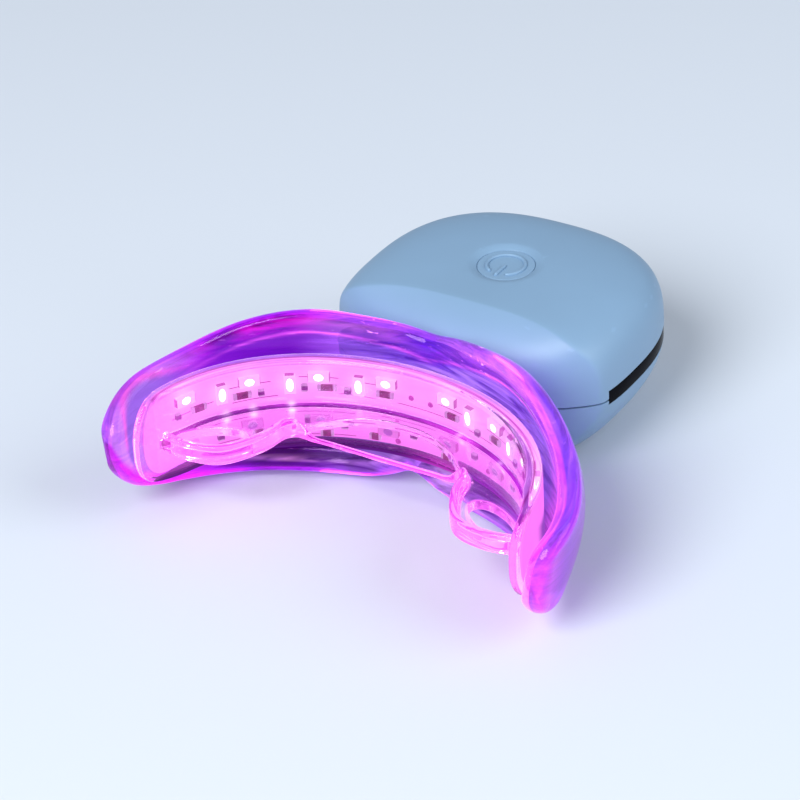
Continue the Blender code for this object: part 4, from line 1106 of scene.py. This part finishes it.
def build_tray():
    wall, ring = window_bodies()
    parts = (plate_mesh(), *[finish_mesh(part, "part") for part in (capped(rim_rows()), wall, ring)])
    shape = bmesh.new()
    for part_mesh in parts:
        shape.from_mesh(part_mesh)
    remesh = ("REMESH", {"mode": "VOXEL", "voxel_size": TRAY_VOXEL})
    soften = ("SMOOTH", {"factor": 0.5, "iterations": 6})
    mesh = baked("tray_skin", mesh_from(shape, "tray_join"), [remesh, soften])
    store_light(mesh, *tray_light(vertex_places(mesh)))
    piece = link("tray_skin", mesh, glow_glass("tray_glass", (0.98, 0.6, 0.95), 0.05))
    mesh.materials.append(sole_paint())
    centres = np.empty(len(mesh.polygons) * 3)
    mesh.polygons.foreach_get("center", centres)
    sole = centres[2::3] < BITE_HEIGHT - BOARD_BOTTOM - SOLE_MARGIN
    mesh.polygons.foreach_set("material_index", sole.astype(np.int32))
    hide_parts("bite_tray")


# Light board, lamps and small components

BOARD_COLUMNS = 260
BOARD_ROWS = 30
# Name, run and height on the board, upright, bright
LAMPS = []
for count, steps in enumerate((-3.5, -2.5, -1.5, -0.5, 0.5, 1.5, 2.5, 3.5), start=1):
    LAMPS.append((f"upper_led_{count}", steps * LED_PITCH, UPPER_ROW, False, True))
    LAMPS.append((f"lower_led_{count}", steps * LED_PITCH, -LOWER_ROW, False, False))
for count, steps in enumerate((-2.92, -1.92, -0.92, 0.92, 1.92, 2.92), start=1):
    LAMPS.append((f"side_led_{count}", steps * LED_PITCH, SIDE_ROW, True, True))
BRIGHT_SPOTS = [(run, height) for name, run, height, upright, bright in LAMPS if bright]
LAMP_DEEP = 0.00056
LAMP_LIFT = 0.00038
LENS_LIFT = 0.00062
LENS_BULGE = 0.00016
SOLDER_DEEP = 0.0006
SOLDER_LIFT = 0.00030

# Small parts on the board in mm: run, height, length, width
RESISTORS = (
    (-32.2, 2.3, 2.5, 0.9), (-25.6, 2.4, 2.7, 0.9), (-13.6, 2.7, 2.8, 0.9), (-5.2, 2.6, 2.6, 0.9),
    (5.7, 2.2, 2.4, 0.9), (14.6, 2.3, 2.4, 0.9), (24.6, 2.2, 2.4, 0.9), (-14.0, -4.6, 1.9, 1.0),
    (-7.0, -4.5, 1.7, 0.9), (4.4, -4.7, 1.7, 0.9), (24.6, -4.4, 1.7, 0.9), (-23.6, -4.7, 1.9, 0.9),
)
CAPACITORS = (
    (-35.6, 2.3, 0.8, 1.1), (-22.9, 2.4, 0.9, 1.0), (-16.8, 2.7, 0.9, 1.1), (-10.7, 2.3, 1.0, 1.1),
    (10.6, 1.6, 0.9, 1.0), (20.4, 1.8, 0.9, 1.0), (-16.6, -3.2, 0.9, 1.3), (-11.4, -3.3, 1.0, 1.0),
    (-1.0, -3.1, 1.0, 1.0), (9.8, -3.2, 1.0, 1.0), (19.3, -3.3, 1.0, 1.0), (-29.2, -3.4, 1.0, 1.0),
)
# Thickness, lift off the board and rounded edge of the bodies
RESISTOR_BODY = (0.00045, 0.00026, 0.00005)
CAPACITOR_BODY = (0.0005, 0.00028, 0.00006)
# Name, colour, glow, roughness and mottle of the bodies, their ends and the darker bodies
COMPONENT_PAINTS = (
    ("component_body", (0.05, 0.005, 0.03), (0.36, 0.010, 0.22), 0.35, 0.6),
    ("component_end", (0.06, 0.02, 0.06), (0.86, 0.36, 0.90), 0.3, 0.35),
    ("component_violet", (0.05, 0.005, 0.05), (0.34, 0.008, 0.36), 0.35, 0.5),
)
VIA = {"radius1": 0.00042, "radius2": 0.00034, "depth": 0.00012}
TRACE_RADIUS = 0.00006
# Vias and the ends of traces on the board, in mm
VIAS = ((-1.3, 2.8), (1.8, 2.6), (-8.7, 3.0), (-3.7, -2.5), (-3.7, -4.8), (12.3, -4.6), (-20.6, -4.4))
TRACES = (
    (-36.4, 2.0, -29.8, 2.4), (-27.3, 3.75, -21.5, 3.85), (-27.0, 1.35, -20.6, 1.5),
    (-17.5, 4.3, -12.0, 4.15), (-12.0, 1.7, -6.8, 1.5), (-9.4, 3.85, -4.3, 3.7), (-3.4, 1.5, 4.0, 1.4),
    (3.2, 3.2, 7.4, 3.1), (8.6, 1.1, 13.3, 1.0), (12.4, 3.0, 17.2, 2.9), (17.8, 1.0, 23.0, 1.0),
    (-19.6, -2.0, -9.8, -2.1), (-6.0, -1.9, 2.6, -2.0), (4.8, -2.1, 14.5, -2.1),
    (-33.0, -2.1, -24.0, -2.1), (-33.0, -4.6, -26.4, -4.6), (-21.0, -5.0, -10.0, -5.0),
)


def board_glow(run, height, offset):
    """Glow of the board: flooded in front, violet behind except where the right arm's back shows."""
    if offset > BOARD_THICKNESS / 2:
        high = max(ease(height, 0.0008, 0.0030), ease(run, 0.034, 0.038))
        return mix3((0.16, 0.05, 0.34), (0.94, 0.20, 0.88), high * ease(run, 0.022, 0.030))
    lit = 0.0
    for lamp_run, lamp_height in BRIGHT_SPOTS:
        gap = math.hypot(run - lamp_run, height - lamp_height)
        lit += swell(gap, 0.0, 0.0016)
    return painted(
        (1.00, 0.31, 0.97),
        ((0.96, 0.22, 0.90), ease(abs(run), 0.030, 0.043)),
        ((0.95, 0.19, 0.90), 0.8 * (1 - ease(height, -0.0054, -0.0010))),
        ((1.0, 0.62, 1.0), 0.7 * min(lit, 1.0)),
        ((0.38, 0.02, 0.40), 0.8 * swell(height, BOARD_TOP - 0.0004, 0.00016)),
    )


def build_board():
    rows = []
    facts = []
    middle = (BOARD_TOP - BOARD_BOTTOM) / 2
    for share in portions(BOARD_COLUMNS):
        run = tip_run(share, BOARD_REACH)
        half = (BOARD_TOP + BOARD_BOTTOM) / 2 * tip_share(run, BOARD_REACH, BOARD_BOTTOM)
        front = [middle + half * (2 * rise - 1) for rise in portions(BOARD_ROWS)]
        row = [(height, 0.0) for height in front]
        row += [(height, BOARD_THICKNESS) for height in reversed(front)]
        rows.append([arch_spot(run, offset, height) for height, offset in row])
        facts += [(run, height, offset) for height, offset in row]
    mesh, facts = skin_with_facts("light_panel", rows, facts, merge=0.00001)
    store(mesh, "glow_colour", "FLOAT_COLOR", [(*board_glow(*fact), 1.0) for fact in facts])
    piece = link("light_panel", mesh, board_paint(), sharp=40)
    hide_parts("led_board")


def rounded_box(shape, size, matrix, edge, index):
    """A small block with rounded edges, added to a mesh under construction."""
    start = set(shape.faces)
    corners = bmesh.ops.create_cube(shape, size=1.0)["verts"]
    bmesh.ops.scale(shape, vec=Vector(size), verts=corners)
    edges = list(dict.fromkeys(one for corner in corners for one in corner.link_edges))
    bmesh.ops.bevel(shape, geom=edges, offset=edge, segments=3, profile=0.5, affect="EDGES")
    faces = [face for face in shape.faces if face not in start]
    moved = list(dict.fromkeys(corner for face in faces for corner in face.verts))
    bmesh.ops.transform(shape, matrix=matrix, verts=moved)
    for face in faces:
        face.material_index = index


def board_matrix(run, height, lift):
    """Axes along the arch, outwards and up, at a place lifted off the board's front."""
    turned = Matrix(arch_axes(run)).transposed().to_4x4()
    return Matrix.Translation(arch_spot(run, -lift, height)) @ turned


def lamp_mesh(name, run, height, upright):
    """A lamp's frame, its lens and a strip of solder at each end."""
    length, width = LAMP_SIZE[::-1] if upright else LAMP_SIZE
    shape = bmesh.new()
    rounded_box(shape, (length, LAMP_DEEP, width), board_matrix(run, height, LAMP_LIFT), 0.0001, 0)
    start = set(shape.faces)
    made = bmesh.ops.create_uvsphere(shape, u_segments=20, v_segments=12, radius=1.0)
    dome = Matrix.Diagonal((length * (0.34 if upright else 0.24), LENS_BULGE, width * 0.36, 1.0))
    cup = board_matrix(run, height, LENS_LIFT) @ dome
    bmesh.ops.transform(shape, matrix=cup, verts=made["verts"])
    for face in shape.faces:
        if face not in start:
            face.material_index = 1
    long, short = (0.8, 0.12) if upright else (0.12, 0.8)
    size = (length * long, SOLDER_DEEP, width * short)
    for side in (-0.46, 0.46):
        move = (0.0, side * width) if upright else (side * length, 0.0)
        place = board_matrix(run + move[0], height + move[1], SOLDER_LIFT)
        rounded_box(shape, size, place, 0.00004, 2)
    return mesh_from(shape, name)


def build_lamps():
    pad = lit_paint("solder_pad", (0.10, 0.04, 0.09), (0.66, 0.09, 0.56), 0.80, 0.25)
    bright_paints = (
        lit_paint("lamp_frame", (0.10, 0.04, 0.09), (1.0, 0.54, 1.0), 0.98),
        lit_paint("lamp_lens", (0.5, 0.4, 0.5), (1.0, 0.93, 1.0), 2.2, vary=0.03),
        pad,
    )
    dim_paints = (
        lit_paint("lamp_frame_dim", (0.08, 0.02, 0.08), (0.90, 0.20, 0.86), 0.85),
        lit_paint("lamp_lens_dim", (0.05, 0.01, 0.06), (0.56, 0.10, 0.68), 0.8),
        pad,
    )
    for name, run, height, upright, bright in LAMPS:
        mesh = lamp_mesh(name, run, height, upright)
        for paint in bright_paints if bright else dim_paints:
            mesh.materials.append(paint)
        piece = link("lit_" + name, mesh, None, sharp=35)
        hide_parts(name)


def add_component(shape, spot, lying, body, index):
    """A body and its two metal ends; the ends lie along the board, or else above and below."""
    run, height, length, width = [value * MM for value in spot]
    thickness, lift, edge = body

    def block(share, deep, place, round_edge, material):
        size = (length * share, deep, width) if lying else (length, deep, width * share)
        rounded_box(shape, size, place, round_edge, material)

    block(0.6, thickness, board_matrix(run, height, lift), edge, index)
    for side in (-0.40, 0.40):
        move = (side * length, 0.0) if lying else (0.0, side * width)
        end = board_matrix(run + move[0], height + move[1], lift - 0.00002)
        block(0.2, thickness + 0.00005, end, 0.00005, 1)


def build_components():
    shape = bmesh.new()
    for spot in RESISTORS:
        add_component(shape, spot, True, RESISTOR_BODY, 0)
    for spot in CAPACITORS:
        add_component(shape, spot, False, CAPACITOR_BODY, 2)
    mesh = mesh_from(shape, "board_components")
    for name, colour, glow, roughness, vary in COMPONENT_PAINTS:
        mesh.materials.append(lit_paint(name, colour, glow, 0.80, roughness, vary))
    piece = link("board_components", mesh, None, sharp=35)


def build_traces():
    shape = bmesh.new()
    for run, height in VIAS:
        made = bmesh.ops.create_cone(shape, cap_ends=True, segments=20, **VIA)
        spin = board_matrix(run * MM, height * MM, VIA["depth"] / 2) @ Matrix.Rotation(QUARTER_TURN, 4, "X")
        bmesh.ops.transform(shape, matrix=spin, verts=made["verts"])
    for start_run, start_height, end_run, end_height in TRACES:
        path = []
        for share in portions(max(int(abs(end_run - start_run) / 0.5), 2)):
            run = (start_run + (end_run - start_run) * share) * MM
            height = (start_height + (end_height - start_height) * share) * MM
            path.append(arch_spot(run, -0.00001, height))
        shape.from_mesh(finish_mesh(tube_mesh(path, TRACE_RADIUS, 6), "trace"))
    mesh = mesh_from(shape, "board_traces")
    trace_paint = lit_paint("trace_paint", (0.25, 0.02, 0.2), (0.50, 0.03, 0.42), 0.8, 0.4, 0.3)
    piece = link("board_traces", mesh, trace_paint, sharp=35)


# Handle

DOME_COLUMNS = 300
DOME_ROWS = 84
BOWL_ROWS = 40
SLAB_SIDE = 4 * HANDLE_HALF_LENGTH
DISH_EASE = 0.0009
GROOVE_LEAD = 0.005
SHELL_WALL = ("SOLIDIFY", {"thickness": COVER_WALL, "offset": -1.0, "use_even_offset": True})


def front_limit(x, height):
    front = FRONT_FACE - FRONT_DROP * (abs(x) / HANDLE_HALF_WIDTH) ** FRONT_SQUARENESS
    share = min(max((height - PARTING_HEIGHT) / DOME_HEIGHT, 0.0), 1.0)
    return SCOOP_TOP + (front - SCOOP_TOP) * (1 - share**SCOOP_SQUARENESS)


def handle_outline(turn, size_share, inset, height):
    """Point of the handle's outline at a level, inset from it, with the scooped front cut off."""
    power = 2 / HANDLE_SQUARENESS
    x = (HANDLE_HALF_WIDTH - inset) * size_share * squared(math.cos(turn), power)
    y = (HANDLE_HALF_LENGTH - inset) * size_share * squared(math.sin(turn), power)
    limit = -(front_limit(x, height) - inset)
    y = (y + limit + math.hypot(y - limit, FRONT_BLEND)) / 2
    return Vector((x, y, height))


def even_turns(count):
    """Turns of the outline that lie evenly along its length."""
    turns = np.linspace(0.0, 2 * math.pi, 4001)
    spots = np.array([handle_outline(turn, 1.0, 0.0, PARTING_HEIGHT)[:2] for turn in turns])
    spans = np.hypot(*np.diff(spots, axis=0).T)
    runs = np.concatenate([[0.0], np.cumsum(spans)])
    return np.interp(np.linspace(0.0, runs[-1], count + 1), runs, turns)[:-1]


def shell_mesh(levels):
    """An open surface through outlines at (size share, height) levels."""
    turns = even_turns(DOME_COLUMNS)
    rows = [[handle_outline(turn, share, 0.0, height) for turn in turns] for share, height in levels]
    return grid_mesh(rows)


def dome_levels():
    levels = []
    for share in portions(DOME_ROWS):
        lift = QUARTER_TURN * share**1.35
        height = PARTING_HEIGHT + DOME_HEIGHT * math.sin(lift) ** (2 / DOME_SQUARENESS)
        levels.append((max(math.cos(lift), 0.0) ** (2 / DOME_SQUARENESS), height))
    return levels


def bowl_levels():
    full = math.asin((PARTING_HEIGHT / BOWL_DEPTH) ** (BOWL_SQUARENESS / 2))
    levels = []
    for share in portions(BOWL_ROWS):
        height = PARTING_HEIGHT - BOWL_DEPTH * math.sin(full * share) ** (2 / BOWL_SQUARENESS)
        levels.append((math.cos(full * share) ** (2 / BOWL_SQUARENESS), height if share < 1 else 0.0))
    return levels


def dome_height(y):
    share = abs(y) / HANDLE_HALF_LENGTH
    return PARTING_HEIGHT + DOME_HEIGHT * (1 - share**DOME_SQUARENESS) ** (1 / DOME_SQUARENESS)


def trim_loop(inset, lead):
    """Outline of the side trim from one end round the back to the other, past each end by the lead."""
    start = -math.asin((TRIM_FRONT / HANDLE_HALF_LENGTH) ** (HANDLE_SQUARENESS / 2)) - lead
    end = math.pi - start
    turns = [start + (end - start) * share for share in portions(239)]
    return [tuple(handle_outline(turn, 1.0, inset, PARTING_HEIGHT).xy) for turn in turns]


def trim_solid(outer, inner, low, high, lead):
    return flat_solid([trim_loop(outer, lead) + trim_loop(inner, lead)[::-1]], low, high)


def groove_mesh():
    low = PARTING_HEIGHT - TRIM_BELOW - GROOVE_GAP
    high = PARTING_HEIGHT + TRIM_ABOVE + GROOVE_GAP
    return trim_solid(-OVERRUN, TRIM_DEPTH + FIT_GAP, low, high, GROOVE_LEAD)


def turned_mesh(profile, segments=96):
    """A closed turned body on the button's axis through (radius, height) points."""
    rows = []
    for radius, height in profile:
        rows.append([Vector((radius * x, radius * y, height)) for x, y in round_points(segments)])
    shape = grid_mesh(rows)
    for corner in shape.verts:
        corner.co.y += BUTTON_Y
    return finish_mesh(shape, "turned")


def neck_cut():
    """A cutter for the neck's oval hole in the covers' front walls."""
    start = -(FRONT_FACE + OVERRUN)
    end = -(FRONT_FACE - COVER_WALL - OVERRUN)
    radius = NECK_HALF_WIDTH + FIT_GAP
    shape = bmesh.new()
    bmesh.ops.create_cone(
        shape, cap_ends=True, segments=64, radius1=radius, radius2=radius, depth=end - start
    )
    squash = (NECK_HALF_HEIGHT + FIT_GAP) / radius
    bmesh.ops.scale(shape, vec=Vector((1.0, squash, 1.0)), verts=shape.verts)
    bmesh.ops.rotate(shape, matrix=Matrix.Rotation(QUARTER_TURN, 3, "X"), verts=shape.verts)
    for corner in shape.verts:
        corner.co += Vector((0.0, (start + end) / 2, NECK_HEIGHT))
    return finish_mesh(shape, "oval")


def dish_tool(surface):
    """The eased rim round the button and the button's hole, as one turned cutter."""
    hole = BUTTON_RADIUS + BUTTON_CLEARANCE / 2
    profile = [(0.0, surface - COVER_WALL * 3), (hole, surface - COVER_WALL * 3)]
    profile += [(hole, surface - BUTTON_DISH - 0.0001)]
    for share in portions(12):
        radius = hole + 0.00008 + (DISH_RADIUS + DISH_EASE - hole) * share
        profile.append((radius, surface - BUTTON_DISH * (1 - share) ** 2 * 0.92 + 0.00004 * share))
    profile += [(DISH_RADIUS + 0.0011, surface + OVERRUN), (0.0, surface + OVERRUN)]
    return turned_mesh(profile)


def socket_cut():
    """A cutter for the charging socket's rounded slot in the rear wall."""
    low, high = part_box("usb_shell")
    middle = (low.z + high.z) / 2
    half_height = (high.z - low.z) / 2 + FIT_GAP
    half_width = (high.x - low.x) / 2 + FIT_GAP
    loop = []
    for side, start in ((1, -QUARTER_TURN), (-1, QUARTER_TURN)):
        for share in portions(16):
            angle = start + math.pi * share
            x = side * (half_width - half_height) + half_height * math.cos(angle)
            loop.append((x, middle + half_height * math.sin(angle)))
    shape = bmesh.new()
    shape.from_mesh(flat_solid([loop], low.y, high.y + 2 * OVERRUN))
    for corner in shape.verts:
        x, height, y = corner.co
        corner.co = (x, y, height)
    return finish_mesh(shape, "socket")


def build_top_cover():
    mesh = finish_mesh(shell_mesh(dome_levels()), "top", merge=0.000002)
    high = (SLAB_SIDE, SLAB_SIDE, PARTING_HEIGHT + PARTING_GAP / 2)
    below = box_mesh((-SLAB_SIDE, -SLAB_SIDE, 0.0), high)
    tools = (below, groove_mesh(), dish_tool(dome_height(BUTTON_Y)), neck_cut())
    mesh = baked("top_shell", mesh, [SHELL_WALL, *[cut(tool) for tool in tools]])
    piece = link("top_shell", mesh, handle_skin(), sharp=32)
    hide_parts("top_cover")


def build_bottom_cover():
    shape = shell_mesh(bowl_levels())
    shape.verts.ensure_lookup_table()
    count = len(shape.verts)
    shape.faces.new([shape.verts[index] for index in range(count - DOME_COLUMNS, count)])
    mesh = finish_mesh(shape, "bottom", merge=0.000002)
    low = (-SLAB_SIDE, -SLAB_SIDE, PARTING_HEIGHT - PARTING_GAP / 2)
    above = box_mesh(low, (SLAB_SIDE, SLAB_SIDE, 2 * PARTING_HEIGHT))
    tools = (above, groove_mesh(), neck_cut(), socket_cut())
    mesh = baked("bottom_shell", mesh, [SHELL_WALL, *[cut(tool) for tool in tools]])
    piece = link("bottom_shell", mesh, bpy.data.materials["handle_skin"], sharp=32)
    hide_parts("bottom_cover")


def build_trim():
    low = PARTING_HEIGHT - TRIM_BELOW
    solid = trim_solid(TRIM_SINK, TRIM_DEPTH, low, PARTING_HEIGHT + TRIM_ABOVE, 0.0)
    edge = {"width": 0.00012, "segments": 3, "limit_method": "ANGLE", "angle_limit": math.radians(50)}
    mesh = baked("trim_strip", solid, [("BEVEL", edge)])
    paint = plain("trim_gloss", (0.004, 0.004, 0.006), 0.14, grain=700.0, vary=0.3, bumps=0.05)
    tree = paint.node_tree
    feed(tree, tree.nodes["Principled BSDF"], {"Specular IOR Level": 0.10, "IOR": 1.15})
    piece = link("trim_strip", mesh, paint, sharp=40)
    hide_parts("side_trim")


def build_button():
    """The cap with a rounded edge and a faint crown, and the raised ring and tick on it."""
    surface = dome_height(BUTTON_Y) - BUTTON_DISH
    side = BUTTON_RADIUS + BUTTON_CLEARANCE * 0.3
    profile = [(0.0, surface - BUTTON_DEPTH), (side, surface - BUTTON_DEPTH)]
    for share in portions(6):
        angle = QUARTER_TURN * share
        radius = side - BUTTON_EDGE * (1 - math.cos(angle))
        profile.append((radius, surface - BUTTON_EDGE * (1 - math.sin(angle))))
    for share in portions(14)[-2::-1]:
        profile.append(((side - BUTTON_EDGE) * share, surface - BUTTON_CROWN * (1 - share**2)))
    start = math.radians(SYMBOL_GAP_TURN) / 2 - QUARTER_TURN
    swing = math.radians(360 - SYMBOL_GAP_TURN)
    lift = surface + SYMBOL_LIFT
    ring = []
    for share in portions(80):
        angle = start + swing * share
        ring.append((SYMBOL_RADIUS * math.cos(angle), BUTTON_Y + SYMBOL_RADIUS * math.sin(angle), lift))
    tick_start = BUTTON_Y - SYMBOL_RADIUS - SYMBOL_LINE
    tick = [(0.0, tick_start + SYMBOL_TICK * share, lift) for share in portions(12)]
    shape = bmesh.new()
    shape.from_mesh(turned_mesh(profile, 128))
    for path in (ring, tick):
        shape.from_mesh(finish_mesh(tube_mesh(path, SYMBOL_LINE, 14), "symbol"))
    mesh = mesh_from(shape, "button_cap")
    piece = link("button_cap", mesh, bpy.data.materials["handle_skin"], body="button", sharp=40)
    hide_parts("power_button")


def build_neck():
    """The clear oval neck between the mouthpiece and the handle."""
    low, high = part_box("neck_tube")
    near = low.y + NECK_EDGE
    ends = ((low.y, -NECK_WALL), (low.y, -NECK_EDGE), (near, 0.0), (high.y, 0.0), (high.y, -NECK_WALL))
    rows = []
    for y, rim in ends:
        wide = NECK_HALF_WIDTH + rim
        tall = NECK_HALF_HEIGHT + rim
        rows.append([Vector((wide * x, y, NECK_HEIGHT + tall * z)) for x, z in round_points(96)])
    rows.append(rows[0])
    mesh = finish_mesh(grid_mesh(rows), "neck_skin")
    count = len(mesh.vertices)
    spots = [tuple(c / MM for c in corner.co) for corner in mesh.vertices]
    # A faint painted violet glow over the whole neck
    store_light(mesh, [(0.05, 0.0, 0.10, 0.0)] * count, [(0.50, 0.20, 0.92, 0.5)] * count, spots)
    piece = link("neck_skin", mesh, bpy.data.materials["shield_glass"], sharp=35)
    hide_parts("neck_tube")


# Carried CAD pieces

def paint_nodes():
    steel = plain("steel", (0.62, 0.62, 0.65), 0.28, metallic=1.0, grain=2600.0, vary=0.06)
    chip = plain("chip", (0.02, 0.02, 0.024), 0.45, grain=2400.0, vary=0.25, bumps=0.4)
    rubber = plain("rubber", (0.50, 0.54, 0.58), 0.70, grain=1800.0, vary=0.06)
    insulation = plain("insulation", (0.02, 0.02, 0.02), 0.42, grain=1500.0, vary=0.2)
    paints = {
        "main_board": plain("solder_mask", (0.02, 0.17, 0.09), 0.42, grain=1200.0, vary=0.18),
        "controller_chip": chip,
        "driver_coil": chip,
        "usb_tongue": chip,
        "switch_plunger": chip,
        "switch_body": steel,
        "usb_shell": steel,
        "neck_seal": rubber,
        "cover_gasket": rubber,
        "tail_connector": insulation,
        "battery_lead_negative": insulation,
        "battery_lead_positive": plain("insulation_red", (0.50, 0.02, 0.02), 0.42, grain=1500.0),
        "battery_cell": plain("foil", (0.55, 0.57, 0.60), 0.35, metallic=0.7, grain=1100.0),
        "battery_pad": plain("foam", (0.07, 0.07, 0.08), 0.92, grain=3200.0, vary=0.3, depth=0.0001),
        "flex_tail": plain("white_film", (0.60, 0.58, 0.68), 0.35, grain=900.0, vary=0.05),
    }
    for count in range(1, 5):
        paints[f"board_screw_{count}"] = steel
    for name, paint in paints.items():
        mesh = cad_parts[name].data
        mesh.materials.clear()
        mesh.materials.append(paint)


place_camera()
sky()
build_floor()
area_light("key", (-0.04, -0.72, 0.60), 0.55, 9.0, (0.90, 0.95, 1.0))
area_light("fill", (0.60, 0.10, 0.45), 0.60, 2.7, (0.86, 0.93, 1.0))
build_shield()
build_tray()
build_board()
build_lamps()
build_components()
build_traces()
build_top_cover()
build_bottom_cover()
build_trim()
build_button()
build_neck()
paint_nodes()

bpy.context.scene.view_settings.view_transform = "Standard"
